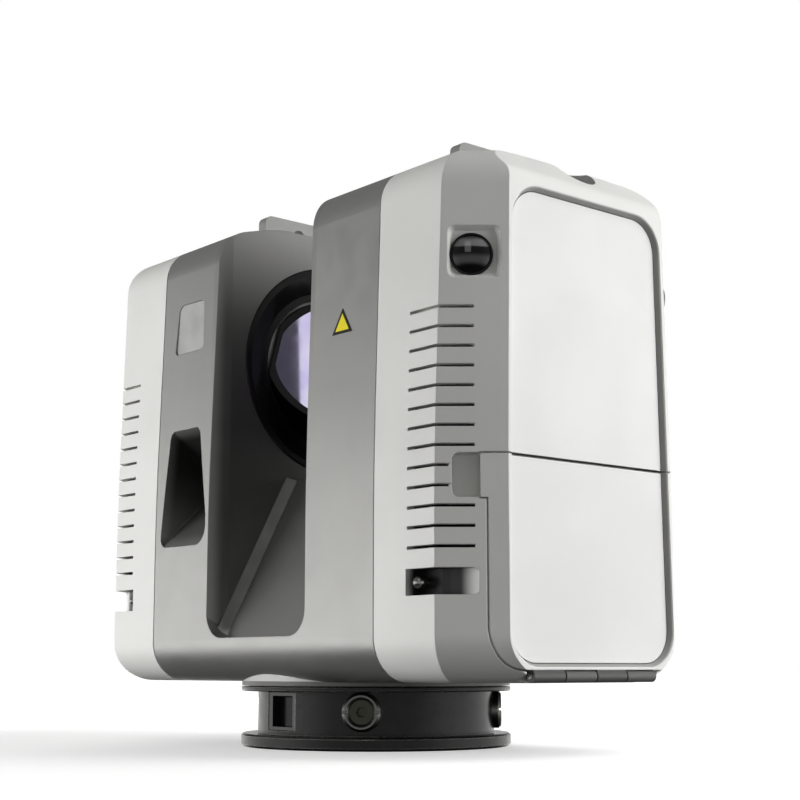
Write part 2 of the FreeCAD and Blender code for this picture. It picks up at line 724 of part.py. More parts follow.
def face_tool(name, radius, length, along, depth, z):
    """A cylinder square to the front right corner face, starting at a depth."""
    x, y = corner_point(along, depth)
    tool = DOC.addObject("Part::Cylinder", name)
    bind(tool, "Radius", radius)
    bind(tool, "Height", length)
    outward = FreeCAD.Vector(SINE.value, -COSINE.value, 0)
    turn = FreeCAD.Rotation(FreeCAD.Vector(0, 0, 1), outward)
    tool.Placement = FreeCAD.Placement(FreeCAD.Vector(x.value, y.value, Size.wrap(z).value), turn)
    for axis, size in (("x", x), ("y", y), ("z", z)):
        bind(tool, "Placement.Base." + axis, size)
    return tool


def four_corners(name, source):
    """The front right piece and its three mirror images, as separate solids."""
    back = mirrored(name + "_back", source, (0, 1, 0))
    left = mirrored(name + "_left", source, (1, 0, 0))
    return [source, back, left, mirrored(name + "_far", back, (1, 0, 0))]


def corner_tools():
    """Everything cut into the two corners of the right side, in one tool."""
    seat = face_tool("camera_seat", CAMERA_R + 0.1, 20, CAMERA_ALONG, 14, CAMERA_Z)
    front = fuse("corner_front", [vents(), grip_groove(), camera_recess(), seat])
    return fuse("corner_pair", [front, mirrored("corner_behind", front, (0, 1, 0))])


def side_recess():
    """The seat of the side panels, with walls that widen to the rim."""
    seat = prism("recess_seat", "YZ_Plane", recess_outline(Size.wrap(0)), RECESS_X, PANEL_X + 0.1)
    slope = math.degrees(math.atan2(RIM_SLOPE.value, (HALF_WIDTH - PANEL_X).value))
    rim = prism("recess_rim", "YZ_Plane", recess_outline(Size.wrap(0)), PANEL_X, HALF_WIDTH + 1, (), slope)
    return fuse("side_recess", [seat, rim])


RECESS = side_recess()
CORNERS = corner_tools()


def groove_backing():
    """Walls left behind the two grip grooves."""
    plan = [
        (GROOVE_START - 2, -70), (GROOVE_START - 2, GROOVE_DEEP + 2 - HALF_DEPTH),
        (BEND_X - 3, GROOVE_DEEP + 2 - HALF_DEPTH), corner_point(6.6, 8), corner_point(GROOVE_ALONG + 2, 5),
        corner_point(GROOVE_ALONG + 2, -9),
    ]
    front = prism("groove_backing", "XY_Plane", plan, GROOVE_LOW - 2, GROOVE_HIGH + 2)
    return [front, mirrored("groove_backing_behind", front, (0, 1, 0))]


def plain_shell():
    """The right shell before its door and camera openings."""
    edge = SEAM_X + SEAM_GAP / 2
    blank = common("shell_blank", OUTER, box("shell_side", (edge, 130), (-80, 80), (0, 240)))
    inside = box("shell_inside", (SEAM_X - 2, RECESS_X - SKIN + 0.2), (-80, 80), (0, 240))
    space = common("shell_space", INNER, inside)
    hollow = cut("shell_hollow", space, *groove_backing())
    return cut("shell_plain", blank, hollow, RECESS, CORNERS)


def pull_backing():
    """The wall behind the finger pocket."""
    plan = [
        corner_point(5, 0.5), corner_point(20, 0.5), corner_point(20, PULL_DEEP + 1.8),
        corner_point(5, PULL_DEEP + 1.8),
    ]
    return prism("pull_backing", "XY_Plane", plan, PULL_LOW - 1.8, DOOR_TOP + 1.8)


def finger_pocket():
    """The pull pocket beside the door, undercut behind the door's tab."""
    mouth = face_prism("pull_mouth", [
        (PULL_START, PULL_LOW, 2.5), (15.3, PULL_LOW), (15.3, DOOR_TOP), (PULL_START, DOOR_TOP, 2.5),
    ], PULL_DEEP, -3)
    undercut = face_prism("pull_undercut", [
        (14, PULL_LOW), (18.5, PULL_LOW), (18.5, DOOR_TOP), (14, DOOR_TOP),
    ], PULL_DEEP, 2.8)
    return fuse("finger_pocket", [mouth, undercut])


def tab_plan(grow):
    """The door's pull tab in plan."""
    return [
        corner_point(15.5 - grow, -3), corner_point(22, -3),
        corner_point(22, 2.3 + grow), corner_point(15.5 - grow, 2.3 + grow),
    ]


def right_shell(plain):
    opening = prism("door_opening", "YZ_Plane", door_outline(DOOR_GAP, DOOR_TOP + DOOR_GAP / 2),
                    DOOR_X - DOOR_GAP, 130)
    mouth = box("battery_mouth", (105, 118), (-36, 36), (35, 98))
    hinge = box("hinge_notch", (DOOR_X - 1.6, 130), (-33, 33), (20, 31.5))
    swing = box("swing_relief", (HINGE_X + 0.5, 130), (-36, 36), (28.5, 31.5))
    leaf = box("leaf_slot", (112, 114), (-15.6, 26.3), (28, LEAF_TOP + 0.1))
    tab = prism("tab_notch", "XY_Plane", tab_plan(DOOR_GAP), PULL_LOW - DOOR_GAP, DOOR_TOP + DOOR_GAP / 2)
    top = along_tilt(cylinder("top_camera_notch", TOP_R + 0.1, 20), -4)
    backed = fuse("right_shell_backed", [plain, pull_backing()])
    tools = [opening, mouth, hinge, swing, leaf, tab, finger_pocket(), top]
    return node("right_shell", cut("right_shell_cut", backed, *tools))


def left_shell(plain):
    image = mirrored("left_plain", plain, (1, 0, 0))
    hole = cylinder("button_hole", BUTTON_R + 0.3, 12, -125, 0, BUTTON_Z, (0, 1, 0), 90)
    return node("left_shell", cut("left_shell_cut", image, hole))


def along_tilt(thing, start):
    """Stands a piece on the upward camera's axis, a distance past its pocket's floor."""
    tilt = math.radians(TOP_TILT.value)
    place(thing, TOP_X + start * math.sin(tilt), TOP_Y, TOP_Z + start * math.cos(tilt), (0, 1, 0), TOP_TILT)
    return thing


def side_panels():
    plate = prism("panel_plate", "YZ_Plane", recess_outline(PLATE_GAP), RECESS_X, PANEL_X)
    gap = PLATE_GAP
    upper = common("upper_panel_cut", plate, box("upper_half", (110, 125), (-60, 60), (DOOR_TOP + gap, 220)))
    node("upper_panel", upper)
    lower = common("door_panel_cut", plate, box("lower_half", (110, 125), (-60, 60), (0, DOOR_TOP - gap)))
    node("door_panel", lower)
    left = mirrored("left_plate", plate, (1, 0, 0))
    screen_box = box("screen_space", (-119, -117.2), (-29, 29), (SCREEN_LOW, 176))
    hole = cylinder("panel_hole", BUTTON_R + 0.3, 12, -125, 0, BUTTON_Z, (0, 1, 0), 90)
    node("display_panel", cut("display_panel_cut", left, screen_box, hole))
    glass = prism("display_glass", "YZ_Plane", [
        (-28.8, SCREEN_LOW + 0.2, 1), (28.8, SCREEN_LOW + 0.2, 1), (28.8, 175.8, 1), (-28.8, 175.8, 1),
    ], -PANEL_X - 0.2, -117.2)
    node("display_glass", glass)


def seals():
    """The gasket between the frame and each shell, set in from the surface."""
    low, high = SEAM_X - SEAM_GAP / 2, SEAM_X + SEAM_GAP / 2
    slab = box("seal_slab", (low, high), (-80, 80), (0, 240))
    inset = envelope("seal_outer", Size.wrap(0.9))
    band = cut("seal_band", common("seal_blank", inset, slab), envelope("seal_inner", Size.wrap(3)))
    node("shell_seals", group("shell_seal_pair", [band, mirrored("seal_mirror", band, (1, 0, 0))]))


# ---------------------------------------------------------------- battery door

def knuckle(name, index):
    """One hinge knuckle with its web, bored for the pin."""
    start = (KNUCKLE_LONG + 0.6) * (index - 2) + 0.3
    barrel = cylinder(name + "_barrel", KNUCKLE_R, KNUCKLE_LONG, HINGE_X, start, HINGE_Z, (1, 0, 0), -90)
    return barrel, start


def hinge_bore(name, radius):
    return cylinder(name, radius, 80, HINGE_X, -40, HINGE_Z, (1, 0, 0), -90)


def battery_door():
    slab = prism("door_slab", "YZ_Plane", door_outline(Size.wrap(0), DOOR_TOP - DOOR_GAP / 2), DOOR_X, 130)
    tab = prism("door_tab", "XY_Plane", tab_plan(0), PULL_LOW, DOOR_TOP - DOOR_GAP / 2)
    pieces = [common("door_blank", OUTER, slab), common("door_tab_blank", OUTER, tab)]
    for index in (0, 2):
        barrel, start = knuckle("door_knuckle_%d" % index, index)
        web = box("door_web_%d" % index, (HINGE_X - 1.9, HINGE_X + 1.5), (start, start + KNUCKLE_LONG),
                  (HINGE_Z, DOOR_LOW + 1.6))
        pieces += [barrel, web]
    for index, y in enumerate((-28, 28)):
        pieces.append(box("door_catch_%d" % index, (DOOR_X - 1.9, DOOR_X + 0.4), (y - 5, y + 5), (93.5, 97)))
    body = cut("door_cut", fuse("door_fused", pieces), RECESS, hinge_bore("door_bore", PIN_R + RUNNING))
    node("door_shell", body)
    seal = prism("door_seal_band", "YZ_Plane", [(-40, 33.8, 4), (40, 33.8, 4), (40, 100, 4), (-40, 100, 4)],
                 DOOR_X - 0.35, DOOR_X)
    hole = prism("door_seal_hole", "YZ_Plane", [(-37, 36.8, 2), (37, 36.8, 2), (37, 97.8, 2), (-37, 97.8, 2)],
                 DOOR_X - 2, DOOR_X + 1)
    node("door_seal", cut("door_seal_cut", seal, hole))


def frame_hinge():
    pieces = []
    floor = HEAD_BOTTOM + SKIN
    for index, far in ((1, -0.3), (3, 26)):
        barrel, start = knuckle("leaf_knuckle_%d" % index, index)
        web = box("leaf_web_%d" % index, (106, HINGE_X - 0.5), (start, far), (floor, LEAF_TOP))
        pieces += [barrel, web]
    leaf = box("leaf_plate", (104, 111), (-26, 26), (floor, LEAF_TOP))
    body = cut("hinge_leaf_cut", fuse("hinge_leaf_fused", pieces + [leaf]), hinge_bore("leaf_bore", PIN_R))
    node("hinge_leaf", body)
    node("hinge_pin", cylinder("hinge_pin_rod", PIN_R, 62.4, HINGE_X, -31.2, HINGE_Z, (1, 0, 0), -90))


# ---------------------------------------------------------------- batteries and electronics

def battery_bay():
    outside = prism("tray_outside", "YZ_Plane", [
        (-37.6, 33.4, 3), (37.6, 33.4, 3), (37.6, 99.6, 3), (-37.6, 99.6, 3),
    ], 76, RECESS_X - SKIN + 0.2)
    inside = box("tray_inside", (77.8, 120), (-36, 36), (35, 98))
    divider = box("tray_divider", (77, RECESS_X - 4), (-0.7, 0.7), (34, 99))
    node("battery_tray", fuse("battery_tray_fused", [cut("tray_cut", outside, inside), divider]))
    for side, name in ((-1, "front"), (1, "rear")):
        low, high = (1.1, 35.6) if side > 0 else (-35.6, -1.1)
        pack = prism("battery_" + name, "XZ_Plane", [
            (79.6, 35, 2), (112.6, 35, 2), (112.6, 97.4, 2), (79.6, 97.4, 2),
        ], low, high)
        node("battery_" + name, pack)
    strips = []
    for i in range(4):
        y = (-26, -10, 10, 26)[i]
        strips.append(box("contact_%d" % i, (77.8, 79.6), (y - 2, y + 2), (44, 62)))
    node("battery_contacts", group("battery_contact_strips", strips))


def electronics():
    """The two circuit boards."""
    board = box("main_board_plate", (107.5, 109.1), (-34, 34), (106, 186))
    chips = [box("main_chip_%d" % i, (109, 111), (-26 + 18 * i, -14 + 18 * i), (120, 134)) for i in range(3)]
    node("main_board", fuse("main_board_fused", [board] + chips))
    node("control_board", box("control_board_plate", (-110.6, -109), (-34, 34), (70, 178)))


# ---------------------------------------------------------------- laser and mirror

def scan_ring(name, low, high, inner, outer):
    """A ring round the scan axis between two x positions."""
    body = disc(name, outer, low, high, "YZ_Plane", 0, 0, [(0, 0, inner)])
    return place(body, z=MIRROR_Z)


def scan_disc(name, low, high, radius):
    body = disc(name, radius, low, high, "YZ_Plane")
    return place(body, z=MIRROR_Z)


def laser_unit():
    node("laser_module", prism("laser_module", "XZ_Plane", [
        (60, 138, 2), (104, 138, 2), (104, 176, 2), (60, 176, 2),
    ], -24, 24))
    node("laser_shelf", box("laser_shelf_plate", (CAVITY_HALF + WALL + 6, 106), (-30, 30), (132, 138)))
    tube = lathe("collimator_tube", [
        (11.5, 34.1), (BEAM_R, 34.1), (BEAM_R, 40.4), (15, 40.4), (15, 60), (11.5, 60),
    ])
    node("collimator_tube", along_x(tube, 0, 0, MIRROR_Z))
    node("beam_window", scan_disc("beam_window", 31.4, 34.1, BEAM_R))


def facing(label, thing):
    """Turns a piece of the mirror unit to its rest angle on the scan axis."""
    holder = DOC.addObject("Part::Compound", label + "_placed")
    holder.Links = [thing]
    place(holder, z=MIRROR_Z, axis=(1, 0, 0), angle=MIRROR_FACING)
    return node(label, holder)


def slanted_plan(near, far, reach=45):
    """A plan strip between two planes tilted 45 degrees to the scan axis."""
    return [
        (MIRROR_X + near - reach, -reach), (MIRROR_X + far - reach, -reach),
        (MIRROR_X + far + reach, reach), (MIRROR_X + near + reach, reach),
    ]


def mirror_unit():
    """The spinning part: drum, tilted glass, shaft, rotor and encoder."""
    slant = MIRROR_THICK * math.sqrt(2)
    back = DRUM_BACK + 1.2
    blank = disc("drum_blank", DRUM_R, DRUM_BACK, 40, "YZ_Plane")
    kept = prism("drum_kept", "XY_Plane", slanted_plan(-150, 0), -45, 45)
    pocket = common("drum_pocket", disc("pocket_core", MIRROR_R + RUNNING, back, 60, "YZ_Plane"),
                    prism("pocket_slab", "XY_Plane", slanted_plan(-slant, 5), -44, 44))
    facing("mirror_drum", cut("drum_cut", common("drum_body", blank, kept), pocket))
    glass = common("glass_body", disc("glass_core", MIRROR_R, back, 60, "YZ_Plane"),
                   prism("glass_slab", "XY_Plane", slanted_plan(-slant, -0.3), -44, 44))
    facing("mirror_glass", glass)
    node("mirror_shaft", scan_disc("mirror_shaft", -86, DRUM_BACK, SHAFT_R))
    node("mirror_rotor", scan_ring("mirror_rotor", -81, -67, SHAFT_R, 11.2))
    node("mirror_encoder", scan_ring("mirror_encoder", -85.4, -84.2, SHAFT_R, 20))


def mirror_mounting():
    """The fixed part: bezel, spindle housing, bearings and motor."""
    cone = lathe("mirror_bezel", [
        (31.5, -5.0), (BEZEL_R - 0.05, -5.0), (BEZEL_R - 0.05, -0.3), (BEZEL_R - 0.8, 0), (42, 0), (34.5, -3.4),
        (31.5, -3.4),
    ])
    node("mirror_bezel", along_x(cone, -CAVITY_HALF + 0.2, 0, MIRROR_Z))
    housing = lathe("spindle_housing", [
        (15, -64), (20, -64), (20, -44.6), (27, -44.6), (27, -40.6), (15, -40.6),
    ])
    node("spindle_housing", along_x(housing, 0, 0, MIRROR_Z))
    outers, inners = [], []
    for i, x in enumerate((-47.5, -58.5)):
        outers.append(scan_ring("spindle_outer_%d" % i, x - 3.5, x + 3.5, 12.2, 15 - RUNNING))
        inners.append(scan_ring("spindle_inner_%d" % i, x - 3.5, x + 3.5, SHAFT_R, 7.8))
        for k in range(9):
            turn = 2 * math.pi * k / 9
            y, z = 10 * math.cos(turn), 10 * math.sin(turn)
            outers.append(sphere("spindle_ball_%d_%d" % (i, k), 2.1, x, y, MIRROR_Z + z))
    node("spindle_bearings", group("spindle_outer_set", outers))
    node("spindle_inner_rings", group("spindle_inner_set", inners))
    can = lathe("mirror_stator", [
        (11.8, -81.5), (20.8, -81.5), (20.8, -83), (23, -83), (23, -60), (20 + RUNNING, -60),
        (20 + RUNNING, -66.5), (11.8, -66.5),
    ])
    node("mirror_stator", along_x(can, 0, 0, MIRROR_Z))


# ---------------------------------------------------------------- cameras, pins, lugs

def cameras():
    """A barrel and a domed lens in each corner recess, and one that looks up."""
    barrel = face_tool("camera_barrel_blank", CAMERA_R, 11.4, CAMERA_ALONG, 13, CAMERA_Z)
    bore = face_tool("camera_barrel_bore", CAMERA_R - 0.6, 12, CAMERA_ALONG, 9, CAMERA_Z)
    barrels = four_corners("barrel", cut("barrel", barrel, bore))
    x, y = corner_point(CAMERA_ALONG, DOME_R + 0.1)
    ball = sphere("camera_lens_ball", DOME_R, x, y, CAMERA_Z)
    core = face_tool("camera_lens_core", CAMERA_R - 0.6, 12, CAMERA_ALONG, 9, CAMERA_Z)
    lenses = four_corners("lens", common("lens", ball, core))
    up_barrel = along_tilt(cylinder("up_barrel_blank", TOP_R, 11), -10)
    up_bore = along_tilt(cylinder("up_barrel_bore", TOP_R - 1.3, 12), -8)
    barrels.append(cut("up_barrel", up_barrel, up_bore))
    up_ball = along_tilt(sphere("up_lens_ball", 10, 0, 0, 0), -8)
    up_core = along_tilt(cylinder("up_lens_core", TOP_R - 1.3, 12), -8)
    lenses.append(common("up_lens", up_ball, up_core))
    node("camera_barrels", group("camera_barrel_set", barrels))
    node("camera_lenses", group("camera_lens_set", lenses))


def groove_pins():
    """A steel ball stud inside the near end of each grip groove."""
    middle = (GROOVE_LOW + GROOVE_HIGH) / 2
    x = GROOVE_START + 3.6
    head = sphere("pin_head", 2.3, x, 3 - HALF_DEPTH, middle)
    stem = cylinder("pin_stem", 1.3, GROOVE_DEEP - 3, x, GROOVE_DEEP - HALF_DEPTH, middle, (1, 0, 0), 90)
    node("groove_pins", group("groove_pin_set", four_corners("pin", fuse("pin", [head, stem]))))


def carry_lugs():
    """The two upright lugs that the carrying strap clips to."""
    outline = [
        (LUG_FRONT, LUG_FOOT), (LUG_BACK, LUG_FOOT), (LUG_BACK, LUG_TOP, 5), (LUG_FRONT, LUG_TOP, 3.5),
    ]
    eye = ((LUG_FRONT + LUG_BACK) / 2, EYE_Z, EYE_R)
    lug = prism("carry_lug", "YZ_Plane", outline, LUG_IN, LUG_OUT, [eye])
    node("carry_lugs", group("carry_lug_pair", [lug, mirrored("carry_lug_left", lug, (1, 0, 0))]))


def warning_sticker():
    """A plain triangle film on the right tower's front."""
    outline = prism("sticker_outline", "XZ_Plane", [(46.1, 151.7), (57.6, 151.7), (51.85, 161.1)], -70, -50)
    skin = cut("sticker_skin", common("sticker_blank", envelope("sticker_outer", Size.wrap(-0.2)), outline), OUTER)
    node("warning_sticker", skin)


# ---------------------------------------------------------------- controls and fan

def power_button():
    """A round button in the display panel, kept in by its rim behind the shell."""
    inside = -(RECESS_X - SKIN)
    cap = disc("button_cap", BUTTON_R, -PANEL_X - 0.9, inside, "YZ_Plane")
    rim = disc("button_rim", BUTTON_R + 2, inside, inside + 1.2, "YZ_Plane")
    node("power_button", place(fuse("power_button_fused", [cap, rim]), z=BUTTON_Z))


def cooling_fan():
    """A small axial fan behind the back vents of the left tower."""
    body = box("fan_block", (FAN_X - 14, FAN_X + 14), (FAN_Y - 8, FAN_Y), (FAN_Z - 14, FAN_Z + 14))
    bore = cylinder("fan_bore", 12.6, 20, FAN_X, FAN_Y - 14, FAN_Z, (1, 0, 0), -90)
    spider = box("fan_spider", (FAN_X - 13, FAN_X + 13), (FAN_Y - 1.2, FAN_Y), (FAN_Z - 1.5, FAN_Z + 1.5))
    node("fan_frame", fuse("fan_frame_fused", [cut("fan_frame_cut", body, bore), spider]))
    hub = cylinder("fan_hub", 5.5, 6, FAN_X, FAN_Y - 7.6, FAN_Z, (1, 0, 0), -90)
    blades = []
    for i in range(7):
        blade = DOC.addObject("Part::Box", "fan_blade_%d" % i)
        bind(blade, "Length", 7.6)
        bind(blade, "Width", 1)
        bind(blade, "Height", 5)
        tilt = FreeCAD.Rotation(FreeCAD.Vector(1, 0, 0), 35)
        spin = FreeCAD.Rotation(FreeCAD.Vector(0, 0, 1), 360.0 * i / 7)
        lay = FreeCAD.Rotation(FreeCAD.Vector(1, 0, 0), -90)
        start = lay.multVec(spin.multVec(FreeCAD.Vector(4.2, 1.3, 0.7)))
        centre = FreeCAD.Vector(FAN_X.value, FAN_Y.value - 7.6, FAN_Z.value)
        blade.Placement = FreeCAD.Placement(centre + start, lay * spin * tilt)
        for axis, size in (("x", FAN_X + start.x), ("y", FAN_Y + (start.y - 7.6)), ("z", FAN_Z + start.z)):
            bind(blade, "Placement.Base." + axis, size)
        blades.append(blade)
    rotor = fuse("fan_rotor_fused", [hub] + blades)
    rotor.Refine = False
    node("fan_rotor", rotor)


# ---------------------------------------------------------------- base and pan drive

def at_lock(label, source, count=3):
    """A piece made on the +X side, copied to every diagonal but the one beside the window."""
    return [turned("%s_%d" % (label, i + 1), source, BASE_TWIST + (90 * i - 45)) for i in range(count)]


SCREW_SPOTS = [
    (36 * math.cos(math.radians(90 * i)), 36 * math.sin(math.radians(90 * i))) for i in range(4)
]


def base_housing():
    """The turned base between its two flanges, with the neck that carries the head."""
    spool = lathe("base_spool", [
        (PLATE_R + 0.1, 0), (FLANGE_R - 1, 0), (FLANGE_R, 1), (FLANGE_R, LOW_FLANGE - 0.8),
        (FLANGE_R - 0.8, LOW_FLANGE), (WAIST_R, LOW_FLANGE), (WAIST_R, TOP_FLANGE), (FLANGE_R - 0.5, TOP_FLANGE),
        (FLANGE_R, TOP_FLANGE + 0.5), (FLANGE_R, BASE_TOP), (NECK_R, BASE_TOP), (NECK_R, NECK_TOP),
        (NECK_BORE, NECK_TOP), (NECK_BORE, 19.6), (CHAMBER_R, 19.6), (CHAMBER_R, PLATE_THICK + 3),
        (32, PLATE_THICK + 3), (32, PLATE_THICK), (PLATE_R + 0.1, PLATE_THICK),
    ])
    bore = cylinder("lock_bore", LOCK_SEAT_R + 0.05, 20, 38, 0, LOCK_Z, (0, 1, 0), 90)
    window = box("base_window", (38, 60), (-8.9, 8.9), (LOW_FLANGE + 1.6, TOP_FLANGE - 0.2))
    opening = turned("base_window_front", window, BASE_TWIST - 90)
    threads = [cylinder("plate_thread_%d" % i, 1.55, 3, x, y, 3.2) for i, (x, y) in enumerate(SCREW_SPOTS)]
    tools = at_lock("lock_bores", bore) + [opening] + threads
    node("base_housing", cut("base_cut", spool, *tools))
    outer = box("frame_outer", (43.2, 46.3), (-8.8, 8.8), (LOW_FLANGE + 1.7, TOP_FLANGE - 0.3))
    inner = box("frame_inner", (40, 60), (-6.2, 7), (LOW_FLANGE + 3.1, TOP_FLANGE - 1.7))
    node("window_frame", turned("window_frame_front", cut("window_frame_cut", outer, inner), BASE_TWIST - 90))
    pane = box("window_pane", (41.7, 43.2), (-8, 8), (LOW_FLANGE + 2, 19.4))
    node("window_glass", turned("window_glass_front", pane, BASE_TWIST - 90))


def tripod_plate():
    """The closing plate with the tripod thread, and its four screws."""
    plate = lathe("tripod_blank", [
        (THREAD_R, 0), (PLATE_R, 0), (PLATE_R, PLATE_THICK), (12, PLATE_THICK), (12, THREAD_DEEP + 1),
        (0, THREAD_DEEP + 1), (0, THREAD_DEEP), (THREAD_R, THREAD_DEEP),
    ])
    holes = []
    screws = []
    for i, (x, y) in enumerate(SCREW_SPOTS):
        holes.append(cylinder("plate_hole_%d" % i, 1.55, 8, x, y, -1))
        holes.append(cylinder("plate_sink_%d" % i, 3.1, 2.1, x, y, -0.3))
        shank = cylinder("plate_shank_%d" % i, 1.5, 4, x, y, 1.8)
        head = cylinder("plate_head_%d" % i, 3, 1.6, x, y, 0.2)
        socket = cylinder("plate_socket_%d" % i, 1.3, 1.2, x, y, 0)
        screws.append(cut("plate_screw_%d" % i, fuse("plate_screw_body_%d" % i, [shank, head]), socket))
    node("tripod_plate", cut("tripod_plate_cut", plate, *holes))
    node("plate_screws", group("plate_screw_set", screws))


def locks():
    """Quarter-turn locks: a fixed seat ring and a turning cam at each diagonal."""
    seat = lathe("lock_seat", [
        (LOCK_CAM_R + 0.2, 0), (LOCK_SEAT_R, 0), (LOCK_SEAT_R, 5.6), (LOCK_SEAT_R - 1, 6.6),
        (LOCK_CAM_R + 1, 6.6), (LOCK_CAM_R + 0.2, 5.8),
    ])
    along_x(seat, 43.7, 0, LOCK_Z)
    notch = box("lock_notch", (49.2, 52), (-8, 8), (LOCK_Z - 0.5, LOCK_Z + 0.5))
    node("lock_seats", group("lock_seat_set", at_lock("lock_seats", cut("lock_seat_cut", seat, notch))))
    cam = cylinder("lock_cam", LOCK_CAM_R, 5, 44, 0, LOCK_Z, (0, 1, 0), 90)
    socket = prism("lock_socket", "YZ_Plane", [
        (2 * math.cos(math.radians(60 * i)), 2 * math.sin(math.radians(60 * i))) for i in range(6)
    ], 46.6, 50)
    place(socket, z=LOCK_Z)
    arm = box("lock_arm", (41, 44.2), (-1.5, 1.5), (LOCK_Z - 4, LOCK_Z + 4))
    whole = cut("lock_cam_cut", fuse("lock_cam_fused", [cam, arm]), socket)
    for i, copy in enumerate(at_lock("lock_cam_at", whole)):
        node("lock_cam_%d" % (i + 1), copy)


def pan_bearing():
    """A thin ball bearing between the base's neck and the head."""
    inner = lathe("pan_race_inner", ring(26.2, 35.2, NECK_R + 0.02, 37))
    node("pan_bearing_outer", lathe("pan_bearing_outer", ring(26.2, SOCKET_TOP, 41.2, SOCKET_R - 0.02)))
    count = 30
    balls = []
    for i in range(count):
        turn = 2 * math.pi * i / count
        balls.append(sphere("pan_ball_%d" % i, 2.05, 39.1 * math.cos(turn), 39.1 * math.sin(turn), 30.8))
    node("pan_bearing_inner", group("pan_inner_set", [inner] + balls))


def pan_drive():
    """The hollow pan shaft with its ring motor, encoder disc and slip ring."""
    roof = SOCKET_TOP + 4
    node("pan_shaft", lathe("pan_shaft", [
        (SHAFT_BORE, 9), (SHAFT_WALL, 9), (SHAFT_WALL, 36.8), (26, 36.8), (26, roof), (SHAFT_BORE, roof),
    ]))
    node("pan_rotor", lathe("pan_rotor", ring(9.4, 18.2, SHAFT_WALL + 0.02, 14.6)))
    node("pan_stator", lathe("pan_stator", [
        (14, PLATE_THICK), (25.5, PLATE_THICK), (25.5, 19.2), (15.2, 19.2), (15.2, 8.4), (14, 8.4),
    ]))
    node("pan_encoder", lathe("pan_encoder", ring(21.6, 22.8, SHAFT_WALL + 0.02, 27.5)))
    node("slip_ring", lathe("slip_ring", [(0, 8), (5.5, 8), (5.5, 34), (0, 34)]))


# ---------------------------------------------------------------- build and write

def write_parts():
    DOC.recompute()
    faults = [o.Name for o in DOC.Objects if "Invalid" in o.State or "Error" in o.State]
    if faults:
        raise RuntimeError("features in error: " + ", ".join(faults))
    os.makedirs("parts", exist_ok=True)
    for thing in NODES:
        shape = thing.Shape
        if shape.isNull() or not shape.isValid() or not shape.Solids:
            raise RuntimeError(thing.Label + " has no valid solid")
        shape.exportStep("parts/%s.step" % thing.Label)
        print("%-24s %3d solids %12.1f mm3" % (thing.Label, len(shape.Solids), shape.Volume))


main_frame()
sensor_window()
PLAIN = plain_shell()
right_shell(PLAIN)
left_shell(PLAIN)
side_panels()
seals()
battery_door()
frame_hinge()
battery_bay()
electronics()
laser_unit()
mirror_unit()
mirror_mounting()
cameras()
groove_pins()
carry_lugs()
warning_sticker()
power_button()
cooling_fan()
base_housing()
tripod_plate()
locks()
pan_bearing()
pan_drive()
write_parts()
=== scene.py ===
"""Looks, light and camera for the terrestrial laser scanner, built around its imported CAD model.

Everything is in metres in the frame of the CAD: +X is the battery tower, -Y the front, +Z up.
The CAD pieces keep their shapes and get their finishes here; no piece is added to them."""

import math

import bmesh
import bpy
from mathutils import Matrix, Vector


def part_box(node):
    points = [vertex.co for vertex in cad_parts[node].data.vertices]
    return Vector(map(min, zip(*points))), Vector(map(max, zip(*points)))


MM = 0.001

# The camera stands in front and to the right, a little above the foot, and looks slightly up.
CAMERA_SPOT = (0.48367, -0.39911, 0.03032)
CAMERA_AZIMUTH = 49.67
CAMERA_PITCH = 8.19
CAMERA_LENS = 69.0
CAMERA_SHIFT = (0.0026, 0.0599)

# A front corner: the bend's |x| and |y|, the corner face's turn in degrees, the grip groove's z.
BEND = (103.9 * MM, 60.8 * MM)
CORNER_TURN = 49.6
GROOVE = (54.6 * MM, 63.6 * MM)

# The level where the battery door parts from the panel above it, and half the width of the painted
# shade along that gap.
DOOR_TOP = 102.1 * MM
HALF_LINE = 0.52 * MM

# Where the painted shade and the dark hinge knuckles lie: ranges of |x|, y or z, or the start and end
# of a fade.
MIRROR_WALL_X = (27.0 * MM, 34.5 * MM)
MIRROR_WALL_FOOT = (43 * MM, 47 * MM)
MIRROR_WALL_TOP = (165 * MM, 215 * MM)
FUNNEL_X = (34.0 * MM, 70.0 * MM)
FUNNEL_Z = (78 * MM, 134 * MM)
FUNNEL_FADE = (85 * MM, 115 * MM)
BOSS_TOP = (25.45 * MM, 25.6 * MM)
SIDE_RECESS_X = (116.3 * MM, 119.3 * MM)
SIDE_RECESS_Y = (-34 * MM, 41.3 * MM)
SIDE_RECESS_Z = (31 * MM, 198 * MM)
GROOVE_END = (15.0 * MM, 15.3 * MM)
KNUCKLE_TOP = (29.75 * MM, 29.85 * MM)

FRAME_GREY = (0.55, 0.55, 0.535)
SHELL_WHITE = (0.80, 0.80, 0.775)
PANEL_WHITE = (0.80, 0.80, 0.79)
BLACK = (0.008, 0.008, 0.008)
WORN_EDGE = (0.62, 0.61, 0.59)
# Painted shade: the mirror's walls, the funnel, the boss, the door's parting line, the recess walls.
MIRROR_WALL_SHADE = (0.10, 0.10, 0.10)
FUNNEL_SHADE = (0.06, 0.06, 0.058)
BOSS_SHADE = (0.16, 0.16, 0.156)
PARTING_SHADE = (0.06, 0.06, 0.06)
SIDE_RECESS_SHADE = (0.36, 0.36, 0.35)
KNUCKLE_GREY = (0.10, 0.10, 0.098)
# A painted reflection on the lens dome.
LENS_GLEAM = (0.24, 0.24, 0.245)
STICKER_YELLOW = (0.88, 0.76, 0.02)
STICKER_BORDER = (0.012, 0.012, 0.010)

